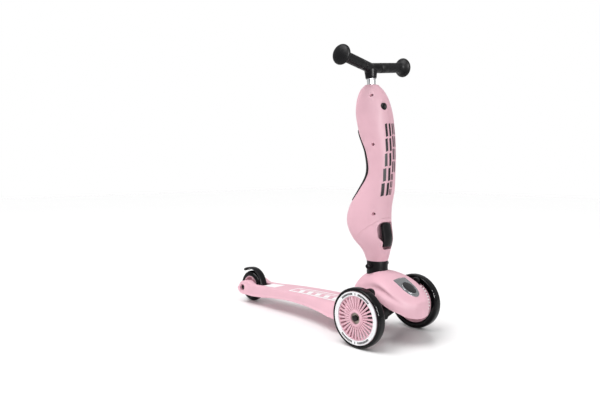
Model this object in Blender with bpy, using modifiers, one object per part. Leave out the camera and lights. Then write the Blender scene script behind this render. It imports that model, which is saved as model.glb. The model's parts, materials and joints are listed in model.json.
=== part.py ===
"""Three-wheel kick scooter whose stem folds over the deck and becomes a ride-on seat.

Metres, +Z up. The front faces -Y and the rider's left is +X. Every piece is laid out from the
point on the ground under the middle of the front axle. One empty carries them all and moves
the middle of the footprint to the origin.
"""
import math

import bmesh
import bpy
import numpy as np
from mathutils import Matrix, Vector

# Clearances
GAP = 0.0003
SLIDE_GAP = 0.0004

# How far the tools that cut right through reach
FAR = 0.2

# Wheels
TYRE_STEPS = 36
WHEELBASE = 0.445
FRONT_TRACK = 0.198
FRONT_WHEEL_RADIUS = 0.060
REAR_WHEEL_RADIUS = 0.040
FRONT_WHEEL_WIDTH = 0.022
REAR_WHEEL_WIDTH = 0.024
FRONT_TYRE_DEPTH = 0.0066
REAR_TYRE_DEPTH = 0.0135
FRONT_TYRE_FLANK = 0.0070
TYRE_STEP = 0.0070
FRONT_TREAD_POWER = 0.65
REAR_TREAD_POWER = 1.0
FRONT_RIM_SLOTS = 30
REAR_RIM_SLOTS = 14
REAR_RIM_LIP = 0.003
RIM_WEB = 0.004
RING_WIDTH = 0.0086
RING_THICKNESS = 0.0015
BEARING_RADIUS = 0.011
BEARING_WIDTH = 0.007
HUB_WALL = 0.004
AXLE_END = 0.060
AXLE_RADIUS = 0.004
BOLT_HEAD_RADIUS = 0.0065
BOLT_HEAD_HEIGHT = 0.0042

# Deck
DECK_TOP = 0.060
DECK_FRONT = 0.044
DECK_WALL = 0.004
DECK_RIB = 0.003
DECK_CROSS_RIBS = 3
RIB_SINK = 0.002
FORK_GAP = 0.034
FORK_SETBACK = 0.061
EAR_SETBACK = 0.033
EAR_RADIUS = 0.017
EAR_HALF_WIDTH = 0.040
EAR_RECESS_RADIUS = 0.009
EAR_RECESS_DEPTH = 0.010

# Brake fender over the rear wheel
FENDER_RADIUS = 0.0465
FENDER_THICKNESS = 0.0036
FENDER_WIDTH = 0.021
FENDER_SETBACK = 0.001
FENDER_RISE = 0.003
FENDER_LIP_REACH = 0.0285
FENDER_LIP_RISE = 0.0385
FENDER_PIN_RADIUS = 0.002
FENDER_PIN_SETBACK = 0.053
FENDER_PIN_RISE = -0.001
FENDER_PIN_SEAT = 0.010
FENDER_BOSS_WALL = 0.0032

# Truck under the bonnet and its inclined kingpin
KINGPIN_TILT = math.radians(50)
KINGPIN_RADIUS = 0.004
TRUCK_HEIGHT = 0.062
TRUCK_HUB_RADIUS = 0.015
TRUCK_HUB_LENGTH = 0.032
BUSHING_THICKNESS = 0.006
BOSS_LENGTH = 0.014
TRUCK_INNER_GAP = 0.0022
UPRIGHT_HEIGHT = 0.0565

# Column base, column, collar and neck tube
BASE_SCREW_RADIUS = 0.0025
BASE_FRONT = 0.047
BASE_BACK = 0.071
BASE_HALF_WIDTH = 0.027
BASE_THICKNESS = 0.007
COLUMN_Y = 0.030
COLUMN_BOTTOM = 0.078
COLUMN_TOP = 0.1555
NECK_TUBE_RADIUS = 0.0165
NECK_TUBE_WALL = 0.0020
NECK_TUBE_BOTTOM = 0.092
NECK_TUBE_SEAT = 0.016
COLUMN_WALL = 0.0025
COLLAR_WALL = 0.0028
COLLAR_TOP = 0.159
COLLAR_BOTTOM = 0.126
KNOB_HEIGHT = 0.1495
KNOB_RADIUS = 0.005
KNOB_REACH = 0.033
KNOB_STEM_RADIUS = 0.0028
KNOB_TRAVEL = 0.004

# Stem form, which the neck and the two seat shells share
STEM_TOP = 0.529
STEM_HALF_WIDTH = 0.0415
STEM_DEPTH = 0.098
STEM_SETBACK = 0.0195
STEM_EXPONENT = 2.2
SHELL_WALL = 0.003
SHELL_FLOOR = 0.009
NECK_WALL = 0.008
NECK_FLOOR = 0.018
NECK_BLANK_RISE = 0.106

# Inclined seam where the seat swivels
SEAM_TILT = math.radians(38.5)
SEAM_HEIGHT = 0.223
SEAM_SETBACK = 0.010
SWIVEL_RADIUS = 0.0335
SWIVEL_THICKNESS = 0.0035
SWIVEL_BOLT_RADIUS = 0.005
SWIVEL_NUT_RADIUS = 0.009
SWIVEL_NUT_HEIGHT = 0.006

# Window and safety lever in the neck: the window's top keeps to the seam and its foot to the collar
WINDOW_HALF_WIDTH = 0.026
WINDOW_WAIST = 0.0170
WINDOW_TOP_RISE = 0.0185
WINDOW_FOOT_RISE = 0.0275
WINDOW_SHOULDER_SHARE = 0.4455
WINDOW_WAIST_SHARE = 0.2818
LEVER_HALF_WIDTH = 0.0155
LEVER_THICKNESS = 0.006
LEVER_MARGIN = 0.0015
LEVER_PIN_RISE = 0.0085
LEVER_PIN_RADIUS = 0.002
LEVER_BARREL_RADIUS = 0.0045
LEVER_PIN_SEAT = 0.004

# Handlebar, its post and the guide tube in the stem
POST_RADIUS = 0.0091
POST_RAKE = math.radians(4)
POST_LENGTH = 0.150
GUIDE_WALL = 0.0027
GUIDE_LENGTH = 0.136
GUIDE_TOP_INSET = 0.007
SOCKET_HEIGHT = 0.0222
SOCKET_RADIUS = 0.0138
POST_SHOWING = 0.0140
BAR_RADIUS = 0.0108
BAR_CORE_RADIUS = 0.008
BAR_RISE = 0.013
BAR_SWEEP = 0.009
BAR_SPAN = 0.105
GRIP_START = 0.026
GRIP_END_RADIUS = 0.0207
GRIP_END_LENGTH = 0.016

# Push button that frees the post
BUTTON_HEIGHT = 0.481
BUTTON_RADIUS = 0.0072
BUTTON_TURN = math.radians(15.5)
BUTTON_TRAVEL = 0.003
BUTTON_STEM_RADIUS = 0.003
BUTTON_DEPTH = 0.004

# Socket in the seat that takes the post when the scooter is a ride-on
RIDE_SOCKET_RISE = 0.047
RIDE_SOCKET_LENGTH = 0.052

# Seat pad on the rear face of the stem
PAD_GAP = 0.014
PAD_TOP = 0.437
PAD_HALF_WIDTH = 0.025
PAD_THICKNESS = 0.0026
PAD_SINK = 0.0015

# Shell screws: the lowest keeps its height over the seam
SCREW_HEIGHTS = (0.504, 0.403)
LOW_SCREW_RISE = 0.037
SCREW_SETBACKS = (0.029, 0.018, 0.018)
SCREW_HEAD_RADIUS = 0.003
SCREW_SHAFT_RADIUS = 0.0015
SCREW_BOSS_RADIUS = 0.006
SCREW_RECESS = 0.009

# Bonnet and its blank badge
BONNET_WALL = 0.003
BONNET_EXPONENT = 2.7
BADGE_RADIUS = 0.0165
BADGE_THICKNESS = 0.0020
BADGE_SINK = 0.0006
BADGE_Y = -0.055
BADGE_TILT = math.radians(35)

# Stations of the stem form as shares of its height, half width and depth
STEM_STATIONS = (
    (0.000, 0.53, -0.224, 0.224),
    (0.056, 0.65, -0.287, 0.315),
    (0.124, 0.88, -0.346, 0.557),
    (0.215, 1.00, -0.308, 0.692),
    (0.309, 0.95, -0.337, 0.600),
    (0.401, 0.84, -0.427, 0.335),
    (0.492, 0.73, -0.465, 0.110),
    (0.605, 0.77, -0.488, 0.100),
    (0.742, 0.93, -0.464, 0.262),
    (0.876, 0.86, -0.400, 0.330),
    (0.940, 0.70, -0.320, 0.285),
    (0.975, 0.54, -0.235, 0.225),
    (1.000, 0.34, -0.150, 0.135),
)

# Sections of the bonnet along Y: half width, bottom, height of the widest point and top
BONNET_SECTIONS = (
    (-0.0855, 0.006, 0.055, 0.068, 0.078),
    (-0.0835, 0.018, 0.045, 0.072, 0.0855),
    (-0.0790, 0.029, 0.042, 0.074, 0.0905),
    (-0.0720, 0.041, 0.042, 0.077, 0.0960),
    (-0.0620, 0.051, 0.042, 0.082, 0.1040),
    (-0.0480, 0.0595, 0.042, 0.088, 0.1135),
    (-0.0300, 0.063, 0.042, 0.095, 0.1245),
    (-0.0100, 0.061, 0.042, 0.100, 0.1345),
    (0.0100, 0.056, 0.042, 0.102, 0.1400),
    (0.0300, 0.052, 0.042, 0.098, 0.1385),
    (0.0450, 0.0485, 0.042, 0.092, 0.1335),
    (0.0600, 0.043, 0.042, 0.085, 0.1235),
    (0.0720, 0.0355, 0.042, 0.078, 0.1080),
    (0.0800, 0.024, 0.044, 0.070, 0.0900),
)

# Line of the bonnet's rim from the side, as (y, z)
BONNET_RIM = (
    (-0.0840, 0.0570), (-0.0730, 0.0620), (-0.0630, 0.0690), (-0.0480, 0.0765),
    (-0.0320, 0.0850), (-0.0160, 0.0935), (0.0, 0.0990), (0.0300, 0.1010),
)

# Sections of the deck: share of its length, half width at the bottom, at the crown, bottom and top
DECK_SECTIONS = (
    (0.000, 0.048, 0.036, 0.0340, 0.060),
    (0.0435, 0.062, 0.040, 0.0320, 0.060),
    (0.1304, 0.070, 0.041, 0.0315, 0.060),
    (0.2826, 0.060, 0.039, 0.0350, 0.060),
    (0.4321, 0.050, 0.037, 0.0370, 0.060),
    (0.6250, 0.045, 0.036, 0.0365, 0.0575),
    (0.7717, 0.042, 0.035, 0.0315, 0.0545),
    (0.9076, 0.038, 0.032, 0.0245, 0.0510),
    (1.000, 0.039, 0.033, 0.0225, 0.0500),
)


# Sizes that follow from the ones above
REAR_OUTER_SEAT = REAR_WHEEL_WIDTH / 2 - 0.0005 - BEARING_WIDTH
FORK_FRONT = WHEELBASE - FORK_SETBACK
DECK_LENGTH = WHEELBASE - EAR_SETBACK - DECK_FRONT
WINDOW_TOP = SEAM_HEIGHT + WINDOW_TOP_RISE
WINDOW_BOTTOM = COLLAR_TOP + WINDOW_FOOT_RISE
WINDOW_SHOULDER = WINDOW_BOTTOM + (WINDOW_TOP - WINDOW_BOTTOM) * WINDOW_SHOULDER_SHARE
WINDOW_WAIST_TOP = WINDOW_BOTTOM + (WINDOW_TOP - WINDOW_BOTTOM) * WINDOW_WAIST_SHARE
LEVER_PIN_HEIGHT = WINDOW_BOTTOM + LEVER_PIN_RISE
RIDE_SOCKET_HEIGHT = SEAM_HEIGHT + RIDE_SOCKET_RISE
PAD_BOTTOM = RIDE_SOCKET_HEIGHT + PAD_GAP


def clear_scene():
    for old in list(bpy.data.objects):
        bpy.data.objects.remove(old, do_unlink=True)


def new_collection(name):
    collection = bpy.data.collections.new(name)
    bpy.context.scene.collection.children.link(collection)
    return collection


clear_scene()
PARTS = new_collection("three_wheel_scooter")
CUTTERS = new_collection("cutters")


def empty(name, location=(0, 0, 0), parent=None, turn=(0, 0, 0)):
    """An empty that pieces hang on, such as a joint's axis."""
    marker = bpy.data.objects.new(name, None)
    marker.location = location
    marker.rotation_euler = turn
    marker.parent = parent
    PARTS.objects.link(marker)
    return marker


NOSE_Y = BONNET_SECTIONS[0][0]
TAIL_Y = WHEELBASE + REAR_WHEEL_RADIUS
ROOT = empty("scooter_root", (0, -(NOSE_Y + TAIL_Y) / 2, 0))


def material(name, colour, roughness, metallic=0.0):
    made = bpy.data.materials.new(name)
    made.use_nodes = True
    shader = made.node_tree.nodes["Principled BSDF"]
    shader.inputs["Base Color"].default_value = (*colour, 1)
    shader.inputs["Roughness"].default_value = roughness
    shader.inputs["Metallic"].default_value = metallic
    return made


PINK = material("pink_plastic", (0.80, 0.44, 0.50), 0.42)
BLACK = material("black_plastic", (0.012, 0.012, 0.014), 0.45)
RUBBER = material("black_rubber", (0.018, 0.018, 0.018), 0.70)
TYRE = material("gloss_tyre", (0.010, 0.010, 0.011), 0.22)
WHITE = material("white_plastic", (0.85, 0.85, 0.86), 0.40)
CHROME = material("chrome", (0.72, 0.73, 0.75), 0.12, 1.0)
STEEL = material("steel", (0.45, 0.45, 0.46), 0.35, 1.0)
SILVER = material("silver_badge", (0.55, 0.56, 0.58), 0.30, 0.8)


def finish(name, mesh, paint, parent=ROOT, origin=(0, 0, 0), turn=None):
    """Name a mesh as one piece and put its origin, and its axes if they turn, in place.

    The mesh is in scooter coordinates when it has no turn, and in its own otherwise.
    """
    if turn is None:
        mesh.transform(Matrix.Translation(-Vector(origin)))
    mesh.shade_smooth()
    mesh.set_sharp_from_angle(angle=math.radians(35))
    piece = bpy.data.objects.new(name, mesh)
    piece.location = Vector(origin)
    if turn is not None:
        piece.rotation_euler = turn
    piece.parent = parent
    if parent is not ROOT and parent is not None:
        piece.location = Vector(origin) - parent.location
    piece.data.materials.append(paint)
    PARTS.objects.link(piece)
    return piece


def mesh_from(build):
    """Fill a new mesh with what build makes in a bmesh."""
    work = bmesh.new()
    build(work)
    mesh = bpy.data.meshes.new("form")
    bmesh.ops.recalc_face_normals(work, faces=work.faces)
    work.to_mesh(mesh)
    work.free()
    return mesh


def box(low, high, bevel=0.0):
    """A box from corner to corner, with its edges rounded."""
    def build(work):
        middle = (Vector(low) + Vector(high)) / 2
        size = Vector(high) - Vector(low)
        place = Matrix.Translation(middle) @ Matrix.Diagonal((*size, 1))
        bmesh.ops.create_cube(work, size=1, matrix=place)
        if bevel:
            bmesh.ops.bevel(work, geom=work.edges[:], offset=bevel, segments=2, affect="EDGES")
    return mesh_from(build)


def axis_turn(direction):
    """The turn that lays local Z along a direction."""
    return Vector(direction).to_track_quat("Z", "Y").to_matrix().to_4x4()


def rod(start, end, radius, segments=24, end_radius=None):
    """A cylinder or cone between two points."""
    start, end = Vector(start), Vector(end)

    def build(work):
        place = Matrix.Translation((start + end) / 2) @ axis_turn(end - start)
        last = radius if end_radius is None else end_radius
        bmesh.ops.create_cone(work, cap_ends=True, segments=segments, radius1=radius,
                              radius2=last, depth=(end - start).length, matrix=place)
    return mesh_from(build)


def turned(name, profile, paint, parent=ROOT, origin=(0, 0, 0), turn=(0, 0, 0), steps=32,
           closed=True):
    """A turned shape from a profile of (radius, height) that runs down its outer side."""
    mesh = bpy.data.meshes.new(name)
    edges = [(i, i + 1) for i in range(len(profile) - 1)]
    if closed:
        edges.append((len(profile) - 1, 0))
    mesh.from_pydata([(radius, 0, height) for radius, height in profile], edges, [])
    piece = bpy.data.objects.new(name, mesh)
    piece.data.materials.append(paint)
    piece.location = Vector(origin) - (parent.location if parent is not ROOT else Vector())
    piece.rotation_euler = turn
    piece.parent = parent
    screw = piece.modifiers.new("turn", "SCREW")
    screw.axis = "Z"
    screw.angle = math.tau
    screw.steps = steps
    screw.render_steps = steps
    screw.use_merge_vertices = True
    screw.merge_threshold = 0.00001
    screw.use_smooth_shade = True
    PARTS.objects.link(piece)
    return piece


def tube_profile(inner, outer, low, high):
    return [(outer, high), (outer, low), (inner, low), (inner, high)]


def cutter(mesh_or_object, name="cutter", parent=ROOT):
    """Turn a mesh or a piece into a hidden tool for a Boolean."""
    if isinstance(mesh_or_object, bpy.types.Object):
        tool = mesh_or_object
        for collection in tool.users_collection:
            collection.objects.unlink(tool)
    else:
        tool = bpy.data.objects.new(name, mesh_or_object)
        tool.parent = parent
    CUTTERS.objects.link(tool)
    tool.hide_render = True
    tool.display_type = "WIRE"
    return tool


def combine(piece, tool, operation):
    modifier = piece.modifiers.new(operation.lower(), "BOOLEAN")
    modifier.operation = operation
    modifier.solver = "EXACT"
    modifier.object = tool


def cut(piece, *tools):
    for tool in tools:
        combine(piece, cutter(tool), "DIFFERENCE")


def join(piece, *tools):
    for tool in tools:
        combine(piece, cutter(tool), "UNION")


def superellipse(half_x, half_y, exponent, count):
    points = []
    for i in range(count):
        angle = math.tau * (i + 0.5) / count
        sine, cosine = math.sin(angle), math.cos(angle)
        points.append((half_x * math.copysign(abs(cosine) ** (2 / exponent), cosine),
                       half_y * math.copysign(abs(sine) ** (2 / exponent), sine)))
    return points


def loft(rings):
    """A closed skin through rings with the same number of points."""
    def build(work):
        rows = [[work.verts.new(point) for point in ring] for ring in rings]
        count = len(rows[0])
        for low, high in zip(rows, rows[1:]):
            for i in range(count):
                j = (i + 1) % count
                work.faces.new((low[i], low[j], high[j], high[i]))
        work.faces.new(rows[0][::-1])
        work.faces.new(rows[-1])
    return mesh_from(build)


def sliced(mesh, point, normal):
    """Keep what lies below a plane and close the cut."""
    work = bmesh.new()
    work.from_mesh(mesh)
    geometry = work.verts[:] + work.edges[:] + work.faces[:]
    bmesh.ops.bisect_plane(work, geom=geometry, plane_co=point, plane_no=normal, clear_outer=True)
    rim = [edge for edge in work.edges if edge.is_boundary]
    bmesh.ops.edgeloop_fill(work, edges=rim)
    bmesh.ops.recalc_face_normals(work, faces=work.faces)
    work.to_mesh(mesh)
    work.free()
    return mesh


def curve_through(stations, share):
    """Values between stations, on a smooth cubic that passes through each of them."""
    rows = np.array(stations, dtype=float)
    heights, values = rows[:, 0], rows[:, 1:]
    slopes = np.gradient(values, heights, axis=0)
    i = int(np.clip(np.searchsorted(heights, share) - 1, 0, len(heights) - 2))
    span = heights[i + 1] - heights[i]
    t = (share - heights[i]) / span
    ends = (2 * t**3 - 3 * t**2 + 1) * values[i] + (3 * t**2 - 2 * t**3) * values[i + 1]
    bends = (t**3 - 2 * t**2 + t) * slopes[i] + (t**3 - t**2) * slopes[i + 1]
    return ends + bends * span


def rounded(corners, segments=3):
    """An outline whose corners, given as (x, y, radius), are arcs."""
    outline = []
    for i, (x, y, radius) in enumerate(corners):
        before = Vector(corners[i - 1][:2]) - Vector((x, y))
        after = Vector(corners[(i + 1) % len(corners)][:2]) - Vector((x, y))
        if radius == 0:
            outline.append((x, y))
            continue
        half = before.angle(after) / 2
        reach = radius / math.tan(half)
        centre = Vector((x, y)) + (before.normalized() + after.normalized()).normalized() \
            * (radius / math.sin(half))
        start = Vector((x, y)) + before.normalized() * reach - centre
        end = Vector((x, y)) + after.normalized() * reach - centre
        sweep = start.angle_signed(end)
        for k in range(segments + 1):
            turn = Matrix.Rotation(-sweep * k / segments, 2)
            outline.append(tuple(centre + turn @ start))
    return outline


def plate(outline, thickness, place):
    """A flat outline as a 2D curve with thickness, made a mesh so that it can cut and be cut."""
    curve = bpy.data.curves.new("outline", "CURVE")
    curve.dimensions = "2D"
    curve.fill_mode = "BOTH"
    curve.extrude = thickness / 2
    spline = curve.splines.new("POLY")
    spline.points.add(len(outline) - 1)
    for point, (x, y) in zip(spline.points, outline):
        point.co = (x, y, 0, 1)
    spline.use_cyclic_u = True
    drawn = bpy.data.objects.new("outline", curve)
    bpy.context.scene.collection.objects.link(drawn)
    depsgraph = bpy.context.evaluated_depsgraph_get()
    mesh = bpy.data.meshes.new_from_object(drawn.evaluated_get(depsgraph))
    bpy.data.objects.remove(drawn)
    work = bmesh.new()
    work.from_mesh(mesh)
    bmesh.ops.remove_doubles(work, verts=work.verts, dist=0.000001)
    bmesh.ops.recalc_face_normals(work, faces=work.faces)
    work.to_mesh(mesh)
    work.free()
    mesh.transform(place)
    return mesh


SIDE_VIEW = Matrix(((0, 0, 1, 0), (1, 0, 0, 0), (0, 1, 0, 0), (0, 0, 0, 1)))
FRONT_VIEW = Matrix(((1, 0, 0, 0), (0, 0, -1, 0), (0, 1, 0, 0), (0, 0, 0, 1)))


def bolt(name, parent, origin, direction, length, head=BOLT_HEAD_RADIUS, height=BOLT_HEAD_HEIGHT,
         radius=AXLE_RADIUS, paint=None):
    """A hexagon bolt: the underside of its head is at the origin and it runs along direction."""
    origin, direction = Vector(origin), Vector(direction).normalized()
    piece = finish(name, rod(origin - direction * height, origin, head, 6), paint or STEEL, parent,
                   origin)
    join(piece, rod(origin - direction * height / 2, origin + direction * length, radius, 12))
    return piece


def nut(name, parent, origin, direction, bore, outer, height):
    """A hexagon nut that starts at the origin and runs along direction."""
    origin, direction = Vector(origin), Vector(direction).normalized()
    piece = finish(name, rod(origin, origin + direction * height, outer, 6), STEEL, parent, origin)
    cut(piece, rod(origin - direction * 0.01, origin + direction * (height + 0.01), bore, 12))
    return piece


def coil(name, parent, origin, direction, radius, wire, turns, length, paint):
    """A wound spring as one unbroken tube along a direction."""
    steps = 9 * turns
    curve = bpy.data.curves.new(name, "CURVE")
    curve.dimensions = "3D"
    curve.bevel_depth = wire
    curve.bevel_resolution = 1
    curve.use_fill_caps = True
    spline = curve.splines.new("POLY")
    spline.points.add(steps)
    for i, point in enumerate(spline.points):
        angle = math.tau * turns * i / steps
        point.co = (radius * math.cos(angle), radius * math.sin(angle), length * i / steps, 1)
    piece = bpy.data.objects.new(name, curve)
    piece.data.materials.append(paint)
    piece.location = Vector(origin) - (parent.location if parent is not ROOT else Vector())
    piece.rotation_euler = Vector(direction).to_track_quat("Z", "Y").to_euler()
    piece.parent = parent
    PARTS.objects.link(piece)
    print(name, "gap between turns", round((length / turns - 2 * wire) * 1000, 2), "mm")
    return piece


# Wheels

def tyre_profile(radius, rim_radius, width, power, flank, step):
    """A tread, rounder with a higher power, whose flank below step reaches further down."""
    depth = radius - rim_radius - GAP
    profile = [(rim_radius + GAP, width / 2 * 0.88)]
    steps = 6
    for i in range(steps + 1):
        angle = math.pi / 2 - math.pi * i / steps
        drop = 1 - abs(math.cos(angle)) ** power
        across = abs(math.sin(angle)) ** power
        profile.append((radius - depth * 0.8 * drop, math.copysign(width / 2 * across, angle)))
    foot = rim_radius - flank + GAP
    profile.append((foot, -width / 2 * 0.88))
    if flank:
        profile += [(foot, step - GAP), (rim_radius + GAP, step - GAP)]
    return profile


def rim_slots(count, start, end, low, high):
    """Wedge slots round a rim, wider outwards, as one tool."""
    def build(work):
        for i in range(count):
            turn = Matrix.Rotation(math.tau * (i + 0.5) / count, 4, "Z")
            wide = end * math.pi / count * 0.42
            narrow = start * math.pi / count * 0.30
            outline = ((start, -narrow), (end, -wide), (end, wide), (start, narrow))
            floor = [work.verts.new(turn @ Vector((x, y, low))) for x, y in outline]
            face = work.faces.new(floor)
            raised = bmesh.ops.extrude_face_region(work, geom=[face])["geom"]
            tops = [item for item in raised if isinstance(item, bmesh.types.BMVert)]
            bmesh.ops.translate(work, verts=tops, vec=(0, 0, high - low))
    return mesh_from(build)


def wheel(name, centre, side, radius, width, tyre_depth, flank, slots, outer_seat, parent):
    """Tyre, rim, bearings and, on a front wheel, the white ring. Local Z points outwards."""
    turn = (0, side * math.pi / 2, 0)
    half = width / 2
    ringed = flank > 0
    rim_radius = radius - tyre_depth
    ring_inner = rim_radius - (RING_WIDTH + 3 * GAP if ringed else REAR_RIM_LIP)
    face = half - 0.0033
    web_high = face + 0.0005
    web_low = web_high - RIM_WEB
    seat = BEARING_RADIUS + GAP
    hub = seat + HUB_WALL
    inner_seat = -half + 0.0005
    step = face - TYRE_STEP
    power = FRONT_TREAD_POWER if ringed else REAR_TREAD_POWER
    tread = tyre_profile(radius, rim_radius, width, power, flank, step)
    turned(f"{name}_tyre", tread, TYRE, parent, centre, turn,
           TYRE_STEPS if ringed else TYRE_STEPS * 3 // 4)
    barrel = rim_radius - flank
    profile = [(rim_radius, face)]
    if flank:
        profile += [(rim_radius, step), (barrel, step)]
    profile += [
        (barrel, -half + 0.0018), (barrel - 0.003, -half + 0.0018),
        (barrel - 0.0035, web_low), (hub, web_low), (hub, inner_seat),
        (seat, inner_seat), (seat, inner_seat + BEARING_WIDTH + GAP),
        (seat - 0.002, inner_seat + BEARING_WIDTH + GAP), (seat - 0.002, outer_seat - GAP),
        (seat, outer_seat - GAP), (seat, half - 0.001), (hub, half - 0.001), (hub, web_high),
        (ring_inner, web_high), (ring_inner, face),
    ]
    rim = turned(f"{name}_rim", profile, PINK, parent, centre, turn, slots)
    margin = 0.0035 if ringed else 0.001
    tool = cutter(rim_slots(slots, hub + margin, ring_inner - 0.0015, web_low - 0.002,
                            web_high + 0.002))
    tool.parent = parent
    tool.location = rim.location
    tool.rotation_euler = turn
    combine(rim, tool, "DIFFERENCE")
    if ringed:
        ring = [(ring_inner + RING_WIDTH + GAP, face + GAP + RING_THICKNESS),
                (ring_inner + RING_WIDTH + GAP, face + GAP), (ring_inner + GAP, face + GAP),
                (ring_inner + GAP, face + GAP + RING_THICKNESS)]
        turned(f"{name}_ring", ring, WHITE, parent, centre, turn, slots)
    bearings(f"{name}_bearings", parent, centre, turn, inner_seat, outer_seat)
    return outer_seat + BEARING_WIDTH


def bearings(name, parent, centre, turn, inner_seat, outer_seat):
    """Two ball bearings and the spacer that keeps them apart, as one turned stack."""
    race = AXLE_RADIUS + GAP
    spacer = AXLE_RADIUS + 0.002
    stack = [
        (BEARING_RADIUS, outer_seat + BEARING_WIDTH), (BEARING_RADIUS, outer_seat),
        (spacer, outer_seat), (spacer, inner_seat + BEARING_WIDTH),
        (BEARING_RADIUS, inner_seat + BEARING_WIDTH), (BEARING_RADIUS, inner_seat),
        (race, inner_seat), (race, outer_seat + BEARING_WIDTH),
    ]
    turned(name, stack, STEEL, parent, centre, turn, 18)


def front_wheels(truck):
    for name, side in (("right_wheel", -1), ("left_wheel", 1)):
        centre = (side * FRONT_TRACK / 2, 0, FRONT_WHEEL_RADIUS)
        axis = empty(f"{name}_axis", centre, ROOT)
        face = wheel(name, centre, side, FRONT_WHEEL_RADIUS, FRONT_WHEEL_WIDTH,
                     FRONT_TYRE_DEPTH, FRONT_TYRE_FLANK, FRONT_RIM_SLOTS, 0.0, axis)
        under_head = FRONT_TRACK / 2 + face + GAP
        bolt(f"{name}_axle_bolt", truck, (side * under_head, 0, FRONT_WHEEL_RADIUS),
             (-side, 0, 0), under_head - AXLE_END)


def rear_wheel():
    centre = (0, WHEELBASE, REAR_WHEEL_RADIUS)
    turn = (0, math.pi / 2, 0)
    axis = empty("rear_wheel_axis", centre, ROOT)
    wheel("rear_wheel", centre, 1, REAR_WHEEL_RADIUS, REAR_WHEEL_WIDTH, REAR_TYRE_DEPTH, 0,
          REAR_RIM_SLOTS, REAR_OUTER_SEAT, axis)
    recess_floor = EAR_HALF_WIDTH - EAR_RECESS_DEPTH
    bolt("rear_axle_bolt", ROOT, (-recess_floor - GAP, WHEELBASE, REAR_WHEEL_RADIUS), (1, 0, 0),
         2 * recess_floor + 0.006)
    nut("rear_axle_nut", ROOT, (recess_floor + GAP, WHEELBASE, REAR_WHEEL_RADIUS), (1, 0, 0),
        AXLE_RADIUS + GAP, BOLT_HEAD_RADIUS, 0.005)


# Deck with its ribs, fork arms and ears

def deck_half_section(bottom_half, crown_half, bottom, top):
    """Half a section from the bottom middle out, up the leaning side and over the crown."""
    foot = Vector((bottom_half, bottom + 0.002))
    crown = Vector((crown_half, top))
    bend = Vector((crown_half + (bottom_half - crown_half) * 0.55, top))
    points = [(0.0, bottom), (bottom_half - 0.003, bottom)]
    steps = 3
    for i in range(steps + 1):
        t = i / steps
        points.append(tuple(foot * (1 - t) ** 2 + bend * 2 * t * (1 - t) + crown * t**2))
    points.append((0.0, top))
    return points


def deck_ring(y, bottom_half, crown_half, bottom, top):
    half = deck_half_section(bottom_half, crown_half, bottom, top)
    right = [(-x, z) for x, z in half[-2:0:-1]]
    return [(x, y, z) for x, z in half + right]


def deck_form(inset, start, end, count, drop=0.0):
    """The deck's skin, drawn in by inset, from start to end along its length."""
    rings = []
    for i in range(count + 1):
        share = start + (end - start) * i / count
        bottom_half, crown_half, bottom, top = curve_through(DECK_SECTIONS, share)
        rings.append(deck_ring(DECK_FRONT + share * DECK_LENGTH, bottom_half - inset,
                               crown_half - inset, bottom - drop, top - inset))
    return rings


def deck_rib_ring(y):
    """A section drawn in so that a rib's edges end inside the deck's walls."""
    share = (y - DECK_FRONT) / DECK_LENGTH
    bottom_half, crown_half, bottom, top = curve_through(DECK_SECTIONS, share)
    return deck_ring(y, bottom_half - RIB_SINK, crown_half - RIB_SINK, bottom + 2 * RIB_SINK,
                     top - RIB_SINK)


def deck_spine():
    """The rib along the middle of the deck's underside."""
    start, end = DECK_FRONT + 0.008, FORK_FRONT - 0.010
    steps = 4
    low, high = [], []
    for i in range(steps + 1):
        y = start + (end - start) * i / steps
        bottom, top = curve_through(DECK_SECTIONS, (y - DECK_FRONT) / DECK_LENGTH)[2:]
        low.append((y, bottom + 3 * RIB_SINK))
        high.append((y, top - RIB_SINK * 0.8))
    return plate(low + high[::-1], DECK_RIB, SIDE_VIEW)


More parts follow.
